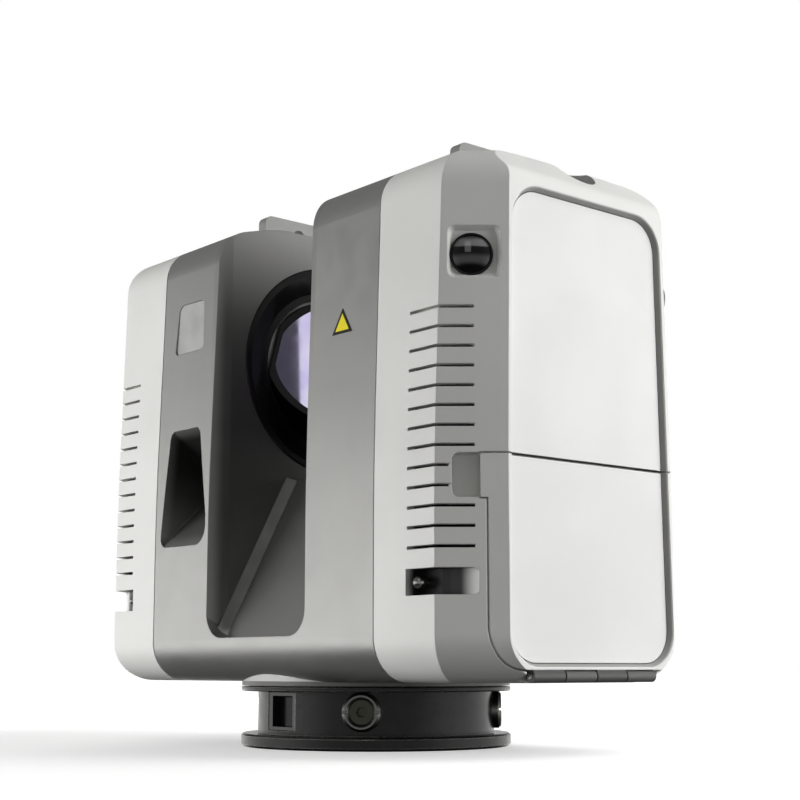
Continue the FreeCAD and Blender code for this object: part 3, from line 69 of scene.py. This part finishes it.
# Light: four soft boxes, at the front, the battery side, overhead and behind on the left.
AIM = Vector((0, 0, 0.12))
SOFT_BOXES = {
    "front_box": {"toward": (-0.60, -0.80, -0.16), "away": 0.95,
                  "size": (0.55, 0.50), "power": 13.5},
    "side_box": {"toward": (0.80, 0.60, 0.16), "away": 0.95,
                 "size": (0.60, 0.55), "power": 6.6},
    "top_box": {"toward": (0.55, 0.45, 0.75), "away": 1.10,
                "size": (0.70, 0.70), "power": 4.5},
    "back_box": {"toward": (-0.85, 0.50, 0.15), "away": 1.00,
                 "size": (0.60, 0.60), "power": 5.0},
}

# The panel behind the camera, and the spot on the scanning mirror that it faces.
GLINT_SPOT = Vector((0.536, -0.552, 0.640))
GLINT_SIZE = (0.25, 0.50)
GLINT_POWER = 0.30
MIRROR_SPOT = Vector((-0.026, -0.020, 0.163))

# The studio's brightness, and its share of that overhead, underfoot and on the camera's side.
STUDIO_WHITE = (1.0, 0.995, 0.985)
STUDIO_LEVEL = 1.12
OVERHEAD = 0.15
UNDERFOOT = 0.04
CAMERA_SIDE = 0.42
TOWARD_CAMERA = (0.762, -0.647, 0.0)

FLOOR_RADIUS = 9.0
FLOOR_PAPER = (0.86, 0.86, 0.86)


# ---------------------------------------------------------------- materials


class Finish:
    """A Principled material in the making. Patterns are in object coordinates, so in metres."""

    def __init__(self, name, colour, roughness, metallic=0.0, **sockets):
        self.material = bpy.data.materials.new(name)
        self.material.use_nodes = True
        self.tree = self.material.node_tree
        self.shader = self.tree.nodes["Principled BSDF"]
        self.shader.inputs["Base Color"].default_value = (*colour, 1)
        self.shader.inputs["Roughness"].default_value = roughness
        self.shader.inputs["Metallic"].default_value = metallic
        for socket, value in sockets.items():
            self.shader.inputs[socket.replace("_", " ")].default_value = value
        self.place = self.node("ShaderNodeTexCoord").outputs["Object"]
        self.normal = None

    def node(self, kind, **settings):
        made = self.tree.nodes.new(kind)
        for name, value in settings.items():
            setattr(made, name, value)
        return made

    def feed(self, socket, value):
        if isinstance(value, bpy.types.NodeSocket):
            self.tree.links.new(value, socket)
        else:
            socket.default_value = value

    def maths(self, operation, first, second=0.0, third=0.0):
        made = self.node("ShaderNodeMath", operation=operation)
        for socket, value in zip(made.inputs, (first, second, third)):
            self.feed(socket, value)
        return made.outputs[0]

    def noise(self, size, detail=2.0, stretch=(1, 1, 1)):
        """Noise from 0 to 1 whose features are about size metres across."""
        scaled = self.node("ShaderNodeMapping")
        self.feed(scaled.inputs["Vector"], self.place)
        scaled.inputs["Scale"].default_value = [1 / (size * s) for s in stretch]
        made = self.node("ShaderNodeTexNoise")
        made.inputs["Scale"].default_value = 1.0
        made.inputs["Detail"].default_value = detail
        self.feed(made.inputs["Vector"], scaled.outputs["Vector"])
        return made.outputs["Fac"]

    def spread(self, value, low, high, start=0.3, end=0.7):
        """Value from start to end becomes low to high."""
        made = self.node("ShaderNodeMapRange", interpolation_type="SMOOTHSTEP")
        for socket, number in zip(made.inputs, (value, start, end, low, high)):
            self.feed(socket, number)
        return made.outputs["Result"]

    def blend(self, share, first, second):
        """The colour first where share is 0 and second where it is 1."""
        made = self.node("ShaderNodeMix", data_type="RGBA")
        self.feed(made.inputs[0], share)
        for socket, colour in zip(made.inputs[6:8], (first, second)):
            self.feed(socket, colour if isinstance(colour, bpy.types.NodeSocket) else (*colour, 1))
        return made.outputs[2]

    def colour(self, value):
        self.feed(self.shader.inputs["Base Color"], value)

    def rough(self, value):
        self.feed(self.shader.inputs["Roughness"], value)

    def metal(self, value):
        self.feed(self.shader.inputs["Metallic"], value)

    def soften(self, radius):
        """Rounds every edge by radius, in shading only."""
        made = self.node("ShaderNodeBevel", samples=4)
        made.inputs["Radius"].default_value = radius
        self.normal = made.outputs["Normal"]
        self.feed(self.shader.inputs["Normal"], self.normal)
        return self.normal

    def bump(self, height, depth, strength):
        made = self.node("ShaderNodeBump")
        made.inputs["Strength"].default_value = strength
        made.inputs["Distance"].default_value = depth
        self.feed(made.inputs["Height"], height)
        if self.normal is not None:
            self.feed(made.inputs["Normal"], self.normal)
        self.normal = made.outputs["Normal"]
        self.feed(self.shader.inputs["Normal"], self.normal)

    def edges(self, softened):
        """About 1 along edges that soften() rounded and 0 on the faces."""
        flat = self.node("ShaderNodeNewGeometry").outputs["Normal"]
        cosine = self.node("ShaderNodeVectorMath", operation="DOT_PRODUCT")
        self.feed(cosine.inputs[0], softened)
        self.feed(cosine.inputs[1], flat)
        return self.spread(cosine.outputs["Value"], 1.0, 0.0, 0.90, 0.995)

    def radius(self):
        """The distance from the vertical axis."""
        apart = self.node("ShaderNodeSeparateXYZ")
        self.feed(apart.inputs[0], self.place)
        x, y, _ = apart.outputs
        square = self.maths("ADD", self.maths("MULTIPLY", x, x), self.maths("MULTIPLY", y, y))
        return self.maths("SQRT", square)

    def along(self, axis):
        """The coordinate along axis 0, 1 or 2."""
        apart = self.node("ShaderNodeSeparateXYZ")
        self.feed(apart.inputs[0], self.place)
        return apart.outputs[axis]

    def between(self, value, low, high, soft=0.3 * MM):
        """1 where value is between low and high, with soft ends."""
        rising = self.spread(value, 0.0, 1.0, low - soft, low)
        return self.maths("MULTIPLY", rising, self.spread(value, 1.0, 0.0, high, high + soft))

    def every(self, *shares):
        """The product of several shares."""
        product = shares[0]
        for share in shares[1:]:
            product = self.maths("MULTIPLY", product, share)
        return product

    def darken(self, share, colour):
        """Lays a colour over the present one where share is near 1."""
        socket = self.shader.inputs["Base Color"]
        before = socket.links[0].from_socket if socket.links else socket.default_value[:3]
        self.colour(self.blend(share, before, colour))


def paint(name, colour, roughness, metallic=0.0, edge=1.12):
    """Sprayed paint: a faint drift in colour, fine grain, orange peel and lighter edges."""
    made = Finish(name, colour, roughness, metallic)
    softened = made.soften(0.45 * MM)
    drift = made.noise(45 * MM, 3)
    fine = made.noise(0.35 * MM, 2)
    darker = [c * 0.965 for c in colour]
    lighter = [min(1, c * 1.02) for c in colour]
    body = made.blend(made.spread(drift, 0, 1), darker, lighter)
    rim = [min(1, c * edge) for c in colour]
    made.colour(made.blend(made.maths("MULTIPLY", made.edges(softened), 0.5), body, rim))
    made.rough(made.spread(made.noise(9 * MM, 3), roughness - 0.035, roughness + 0.045))
    made.bump(fine, 0.012 * MM, 0.5)
    made.bump(made.noise(1.6 * MM, 1), 0.010 * MM, 0.4)
    return made


def painted(name, *values):
    return paint(name, *values).material


def frame_skin(name):
    """The grey frame, with painted shade beside the mirror, deep in the funnel and on the boss below.
    """
    made = paint(name, FRAME_GREY, 0.36, 0.80)
    aside = made.maths("ABSOLUTE", made.along(0))
    deep = made.maths("SUBTRACT", BEND[1], made.maths("ABSOLUTE", made.along(1)))
    z = made.along(2)
    # Painted shade on the walls beside the mirror, fading out towards the top and the foot.
    wall_shade = made.every(
        made.between(aside, *MIRROR_WALL_X),
        made.spread(deep, 0.0, 1.0, 0.5 * MM, 7.0 * MM),
        made.spread(z, 1.0, 0.0, *MIRROR_WALL_TOP),
        made.spread(z, 0.0, 1.0, *MIRROR_WALL_FOOT),
    )
    made.darken(made.maths("MULTIPLY", wall_shade, 0.80), MIRROR_WALL_SHADE)
    # Painted shade deep in the funnel, darker towards the top.
    funnel = made.every(
        made.between(aside, *FUNNEL_X),
        made.spread(deep, 0.0, 1.0, 0.6 * MM, 6.0 * MM),
        made.between(z, *FUNNEL_Z),
        made.spread(z, 0.35, 0.92, *FUNNEL_FADE),
    )
    made.darken(funnel, FUNNEL_SHADE)
    # Painted shade on the underside, the boss below the head.
    made.darken(made.spread(z, 1.0, 0.0, *BOSS_TOP), BOSS_SHADE)
    return made.material


def panel_face(name):
    """The white side panels, with painted shade as a dark line where the two on the battery side part.
    """
    made = paint(name, PANEL_WHITE, 0.48, edge=1.03)
    # Painted shade in the gap between door and panel, on the battery side only.
    line = made.between(made.along(2), DOOR_TOP - HALF_LINE, DOOR_TOP + HALF_LINE, 0.05 * MM)
    battery_side = made.spread(made.along(0), 0.0, 1.0, 0.0, 50 * MM)
    made.darken(made.maths("MULTIPLY", line, battery_side), PARTING_SHADE)
    return made.material


def shell_skin(name):
    """The off-white shells, with painted shade: black inside the grip grooves, grey on the walls round
    the side panels.
    """
    made = paint(name, SHELL_WHITE, 0.42, edge=1.05)
    aside = made.maths("SUBTRACT", made.maths("ABSOLUTE", made.along(0)), BEND[0])
    ahead = made.maths("SUBTRACT", made.maths("ABSOLUTE", made.along(1)), BEND[1])
    turn = math.radians(CORNER_TURN)
    off_corner = made.maths(
        "ADD",
        made.maths("MULTIPLY", aside, math.sin(turn)),
        made.maths("MULTIPLY", ahead, math.cos(turn)),
    )
    deep = made.maths("MULTIPLY", made.maths("MAXIMUM", ahead, off_corner), -1.0)
    along_corner = made.maths(
        "SUBTRACT",
        made.maths("MULTIPLY", aside, math.cos(turn)),
        made.maths("MULTIPLY", ahead, math.sin(turn)),
    )
    middle = (GROOVE[0] + GROOVE[1]) / 2
    reach = (GROOVE[1] - GROOVE[0]) / 2 + 0.2 * MM
    off_middle = made.maths("ABSOLUTE", made.maths("SUBTRACT", made.along(2), middle))
    level = made.spread(off_middle, 1.0, 0.0, reach, reach + 0.1 * MM)
    # Painted shade: black deep in the grip grooves, fading out towards the surface and the groove's
    # end.
    groove_shade = made.every(
        made.spread(deep, 0.0, 1.0, 0.5 * MM, 4.0 * MM),
        level,
        made.spread(along_corner, 1.0, 0.0, *GROOVE_END),
    )
    made.darken(groove_shade, BLACK)
    paint_recess_shade(made)
    return made.material


def paint_recess_shade(made):
    """Paints grey shade on the walls of the side recess."""
    wall_shade = made.every(
        made.between(made.maths("ABSOLUTE", made.along(0)), *SIDE_RECESS_X, 0.5 * MM),
        made.between(made.along(1), *SIDE_RECESS_Y),
        made.between(made.along(2), *SIDE_RECESS_Z),
    )
    made.darken(wall_shade, SIDE_RECESS_SHADE)


def door_skin(name):
    """The door: off-white, with dark grey hinge knuckles below its lower edge."""
    made = paint(name, SHELL_WHITE, 0.42, edge=1.05)
    # Painted shade on the walls of the side recess.
    paint_recess_shade(made)
    made.darken(made.spread(made.along(2), 1.0, 0.0, *KNUCKLE_TOP), KNUCKLE_GREY)
    return made.material


def lens(name):
    """A dark coated dome with a painted reflection: a paler ring high on it."""
    made = Finish(name, (0.006, 0.006, 0.007), 0.06, Coat_Weight=1.0)
    made.rough(made.spread(made.noise(7 * MM, 4), 0.05, 0.10))
    facing = made.node("ShaderNodeSeparateXYZ")
    made.feed(facing.inputs[0], made.node("ShaderNodeNewGeometry").outputs["Normal"])
    up = facing.outputs[2]
    # Painted reflection: a paler ring where the dome faces partly upward.
    rising = made.spread(up, 0.0, 1.0, 0.16, 0.22)
    falling = made.spread(up, 1.0, 0.0, 0.34, 0.46)
    ring = made.every(rising, falling)
    made.darken(ring, LENS_GLEAM)
    return made.material


def moulded(name, colour, roughness, grain=0.5 * MM, depth=0.02 * MM):
    """Moulded plastic or rubber with a fine spark-eroded texture."""
    made = Finish(name, colour, roughness)
    made.soften(0.3 * MM)
    tone = made.spread(made.noise(12 * MM, 3), 0, 1)
    made.colour(made.blend(tone, [c * 0.88 for c in colour], [min(1, c * 1.1) for c in colour]))
    made.rough(made.spread(made.noise(3 * MM, 2), roughness - 0.05, roughness + 0.05))
    made.bump(made.noise(grain, 2), depth, 0.6)
    return made.material


def machined(name, colour, roughness):
    """Bare metal with tool marks along one direction and a brighter edge."""
    made = Finish(name, colour, roughness, 1.0)
    softened = made.soften(0.25 * MM)
    marks = made.noise(0.25 * MM, 3, (1, 1, 12))
    body = made.blend(made.spread(marks, 0, 1), [c * 0.86 for c in colour], colour)
    made.colour(made.blend(made.edges(softened), body, [min(1, c * 1.25) for c in colour]))
    made.rough(made.spread(marks, roughness - 0.06, roughness + 0.08))
    made.bump(marks, 0.006 * MM, 0.6)
    return made.material


def glassy(name, colour, roughness, **sockets):
    """Polished glass, lens or gloss moulding with faint smears in its gloss."""
    made = Finish(name, colour, roughness, **sockets)
    made.soften(0.15 * MM)
    made.rough(made.spread(made.noise(7 * MM, 4), roughness, roughness + 0.06))
    tone = made.spread(made.noise(20 * MM, 2), 0, 1)
    made.colour(made.blend(tone, [c * 0.8 for c in colour], colour))
    return made.material


def turned_black(name):
    """The foot: satin black with fine turning marks and brighter edges."""
    made = Finish(name, BLACK, 0.24, Specular_IOR_Level=0.35)
    softened = made.soften(0.55 * MM)
    rings = made.noise(0.3 * MM, 2, (40, 40, 1))
    worn = made.maths("MULTIPLY", made.edges(softened), 0.75)
    made.colour(made.blend(worn, BLACK, WORN_EDGE))
    made.metal(worn)
    made.rough(made.spread(made.noise(5 * MM, 3), 0.20, 0.28))
    made.bump(rings, 0.004 * MM, 0.5)
    return made.material


def bordered_sticker(name):
    """A plain yellow triangle with a dark border, printed film with a slight sheen."""
    made = Finish(name, STICKER_YELLOW, 0.55)
    low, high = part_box("warning_sticker")
    middle = (low.x + high.x) / 2
    base, tip = low.z, high.z
    apart = made.node("ShaderNodeSeparateXYZ")
    made.feed(apart.inputs[0], made.place)
    x, _, z = apart.outputs
    half = (high.x - low.x) / 2
    slope = math.atan2(tip - base, half)
    aside = made.maths("ABSOLUTE", made.maths("SUBTRACT", x, middle))
    down = made.maths("SUBTRACT", tip, z)
    to_side = made.maths(
        "SUBTRACT",
        made.maths("MULTIPLY", down, math.cos(slope)),
        made.maths("MULTIPLY", aside, math.sin(slope)),
    )
    to_base = made.maths("SUBTRACT", z, base)
    inside = made.maths("MINIMUM", to_side, to_base)
    share = made.spread(inside, 0, 1, 0.95 * MM, 1.08 * MM)
    made.colour(made.blend(share, STICKER_BORDER, STICKER_YELLOW))
    made.bump(made.noise(0.6 * MM, 2), 0.006 * MM, 0.4)
    return made.material


def circuit(name):
    """A green board with a fine pattern of traces."""
    made = Finish(name, (0.01, 0.10, 0.04), 0.4)
    traces = made.node("ShaderNodeTexBrick")
    scaled = made.node("ShaderNodeMapping")
    made.feed(scaled.inputs["Vector"], made.place)
    scaled.inputs["Rotation"].default_value = (math.radians(90), 0, math.radians(90))
    made.feed(traces.inputs["Vector"], scaled.outputs["Vector"])
    traces.inputs["Scale"].default_value = 90
    traces.inputs["Color1"].default_value = (0.008, 0.09, 0.035, 1)
    traces.inputs["Color2"].default_value = (0.012, 0.12, 0.05, 1)
    traces.inputs["Mortar"].default_value = (0.10, 0.24, 0.08, 1)
    made.colour(traces.outputs["Color"])
    made.bump(traces.outputs["Fac"], 0.05 * MM, 0.5)
    return made.material


def mirror_film(name):
    """A front-surface mirror with a faint violet coating."""
    made = Finish(name, (0.70, 0.64, 0.95), 0.05, 1.0)
    made.rough(made.spread(made.noise(10 * MM, 3), 0.02, 0.045))
    tone = made.spread(made.noise(14 * MM, 2), 0, 1)
    made.colour(made.blend(tone, (0.66, 0.60, 0.93), (0.80, 0.76, 0.98)))
    return made.material


def finishes():
    """One finish for each material slot of the record."""
    return {
        "frame_paint": frame_skin("frame_paint"),
        "shell_paint": shell_skin("shell_paint"),
        "panel_skin": panel_face("panel_skin"),
        "frosted_pane": moulded("frosted_pane", (0.42, 0.42, 0.41), 0.45, 0.3 * MM),
        "hinge_paint": painted("hinge_paint", (0.13, 0.13, 0.128), 0.45),
        "lug_paint": painted("lug_paint", (0.42, 0.42, 0.41), 0.36, 0.5),
        "button_grey": painted("button_grey", (0.30, 0.31, 0.32), 0.40),
        "screen_glass": glassy("screen_glass", (0.012, 0.013, 0.016), 0.06, Coat_Weight=0.5),
        "bezel_black": glassy("bezel_black", (0.010, 0.010, 0.010), 0.14),
        "lens_glass": lens("lens_glass"),
        "window_glass": glassy(
            "window_glass", (0.003, 0.003, 0.004), 0.16, Specular_IOR_Level=0.2
        ),
        "beam_glass": glassy("beam_glass", (0.05, 0.015, 0.06), 0.06),
        "mirror_coating": mirror_film("mirror_coating"),
        "seal_rubber": moulded("seal_rubber", (0.020, 0.020, 0.020), 0.70),
        "tray_plastic": moulded("tray_plastic", (0.050, 0.051, 0.053), 0.55),
        "battery_case": moulded(
            "battery_case", (0.035, 0.036, 0.038), 0.50, 0.8 * MM, 0.04 * MM
        ),
        "slip_plastic": moulded("slip_plastic", (0.30, 0.29, 0.26), 0.50),
        "board": circuit("board"),
        "contact_metal": machined("contact_metal", (0.83, 0.62, 0.28), 0.28),
        "machined_alloy": machined("machined_alloy", (0.72, 0.72, 0.72), 0.30),
        "black_alloy": machined("black_alloy", (0.040, 0.040, 0.042), 0.38),
        "pin_steel": machined("pin_steel", (0.52, 0.51, 0.50), 0.24),
        "bearing_steel": machined("bearing_steel", (0.60, 0.60, 0.61), 0.20),
        "encoder_metal": machined("encoder_metal", (0.66, 0.66, 0.64), 0.22),
        "motor_iron": machined("motor_iron", (0.26, 0.25, 0.25), 0.45),
        "window_metal": machined("window_metal", (0.10, 0.10, 0.098), 0.30),
        "lock_ring": machined("lock_ring", (0.26, 0.26, 0.25), 0.36),
        "lock_steel": machined("lock_steel", (0.10, 0.102, 0.080), 0.40),
        "base_black": turned_black("base_black"),
        "sticker_yellow": bordered_sticker("sticker_yellow"),
    }


def dress_nodes():
    """Gives each CAD piece the finish of its own material slot."""
    made = finishes()
    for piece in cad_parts.values():
        for place in piece.material_slots:
            slot = place.material.name.split(".")[0]
            place.material = made[slot]
    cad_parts["door_shell"].material_slots[0].material = door_skin("door_paint")


# ------------------------------------------------------- floor, light, camera


def area_lamp(name, spot, aim, size, power):
    """A rectangular lamp at spot that faces aim."""
    lamp = bpy.data.lights.new(name, "AREA")
    lamp.shape = "RECTANGLE"
    lamp.size, lamp.size_y = size
    lamp.energy = power
    made = bpy.data.objects.new(name, lamp)
    bpy.context.scene.collection.objects.link(made)
    made.location = spot
    made.rotation_mode = "QUATERNION"
    made.rotation_quaternion = (spot - aim).to_track_quat("Z", "Y")
    return made


def soft_box(name, toward, away, size, power):
    """A lamp that lights the object and doesn't show in its gloss."""
    spot = AIM + Vector(toward).normalized() * away
    area_lamp(name, spot, AIM, size, power).visible_glossy = False


def glint():
    """A panel behind the camera that only shows in the scanning mirror and other gloss."""
    panel = area_lamp("glint", GLINT_SPOT, MIRROR_SPOT, GLINT_SIZE, GLINT_POWER)
    panel.visible_diffuse = False


def surroundings():
    """A studio that is bright round the horizon, dim overhead and underfoot, and dimmer on the
    camera's side. Seen directly it is plain white."""
    world = bpy.data.worlds.new("studio")
    world.use_nodes = True
    bpy.context.scene.world = world
    tree = world.node_tree
    tree.nodes.clear()

    def link(out, into):
        tree.links.new(out, into)

    def spread(value, start, end, low, high):
        made = tree.nodes.new("ShaderNodeMapRange")
        made.interpolation_type = "SMOOTHSTEP"
        link(value, made.inputs[0])
        for socket, number in zip(made.inputs[1:5], (start, end, low, high)):
            socket.default_value = number
        return made.outputs["Result"]

    def times(first, second):
        made = tree.nodes.new("ShaderNodeMath")
        made.operation = "MULTIPLY"
        link(first, made.inputs[0])
        link(second, made.inputs[1])
        return made.outputs[0]

    direction = tree.nodes.new("ShaderNodeTexCoord").outputs["Generated"]
    apart = tree.nodes.new("ShaderNodeSeparateXYZ")
    link(direction, apart.inputs[0])
    up = apart.outputs[2]
    facing = tree.nodes.new("ShaderNodeVectorMath")
    facing.operation = "DOT_PRODUCT"
    link(direction, facing.inputs[0])
    facing.inputs[1].default_value = TOWARD_CAMERA
    above = spread(up, 0.00, 0.32, 1.0, OVERHEAD)
    below = spread(up, -0.40, -0.13, UNDERFOOT, 1.0)
    toward_camera = spread(facing.outputs["Value"], 0.25, 0.90, 1.0, CAMERA_SIDE)
    share = times(times(above, below), toward_camera)

    studio = tree.nodes.new("ShaderNodeBackground")
    studio.inputs["Color"].default_value = (*STUDIO_WHITE, 1)
    level = tree.nodes.new("ShaderNodeMath")
    level.operation = "MULTIPLY"
    level.inputs[1].default_value = STUDIO_LEVEL
    link(share, level.inputs[0])
    link(level.outputs[0], studio.inputs["Strength"])
    white = tree.nodes.new("ShaderNodeBackground")
    white.inputs["Color"].default_value = (1, 1, 1, 1)
    either = tree.nodes.new("ShaderNodeMixShader")
    link(tree.nodes.new("ShaderNodeLightPath").outputs["Is Camera Ray"], either.inputs[0])
    link(studio.outputs[0], either.inputs[1])
    link(white.outputs[0], either.inputs[2])
    out = tree.nodes.new("ShaderNodeOutputWorld")
    link(either.outputs[0], out.inputs["Surface"])


def floor():
    """A wide pale floor that fades to white with distance through a painted glow that grows farther
    out.
    """
    mesh = bpy.data.meshes.new("floor")
    form = bmesh.new()
    bmesh.ops.create_circle(form, cap_ends=True, segments=96, radius=FLOOR_RADIUS)
    form.to_mesh(mesh)
    form.free()
    made = bpy.data.objects.new("floor", mesh)
    bpy.context.scene.collection.objects.link(made)
    made.visible_diffuse = False
    made.visible_glossy = False
    look = Finish("floor_paper", FLOOR_PAPER, 0.9)
    near = look.spread(look.radius(), 0, 1, 0.1, 0.9)
    # Painted light: the floor glows, more the farther it lies from the object.
    glow = look.spread(near, 0.45, 1.0, 0.0, 0.5)
    look.shader.inputs["Emission Color"].default_value = (1, 1, 1, 1)
    look.feed(look.shader.inputs["Emission Strength"], glow)
    look.shader.inputs["Specular IOR Level"].default_value = 0
    mesh.materials.append(look.material)


def camera():
    """The view the scene is made for, through a full-frame lens."""
    view = bpy.data.cameras.new("camera")
    view.sensor_width = 36.0
    view.lens = CAMERA_LENS
    view.shift_x, view.shift_y = CAMERA_SHIFT
    view.clip_start = 0.01
    view.clip_end = 50.0
    made = bpy.data.objects.new("camera", view)
    bpy.context.scene.collection.objects.link(made)
    turn, pitch = math.radians(CAMERA_AZIMUTH), math.radians(CAMERA_PITCH)
    level = Vector((-math.sin(turn), math.cos(turn), 0))
    ahead = level * math.cos(pitch) + Vector((0, 0, math.sin(pitch)))
    made.location = CAMERA_SPOT
    made.rotation_mode = "QUATERNION"
    made.rotation_quaternion = ahead.to_track_quat("-Z", "Y")
    bpy.context.scene.camera = made


# ----------------------------------------------------------------- assembly

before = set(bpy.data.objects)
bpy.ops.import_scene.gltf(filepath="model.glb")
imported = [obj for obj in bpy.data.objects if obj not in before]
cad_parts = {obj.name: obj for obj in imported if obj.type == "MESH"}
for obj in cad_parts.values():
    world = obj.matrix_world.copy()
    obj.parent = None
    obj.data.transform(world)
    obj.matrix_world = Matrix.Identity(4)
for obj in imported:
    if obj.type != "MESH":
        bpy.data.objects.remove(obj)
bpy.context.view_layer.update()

dress_nodes()
for box_name, settings in SOFT_BOXES.items():
    soft_box(box_name, **settings)
glint()
surroundings()
floor()
camera()
bpy.context.scene.view_settings.view_transform = "Standard"
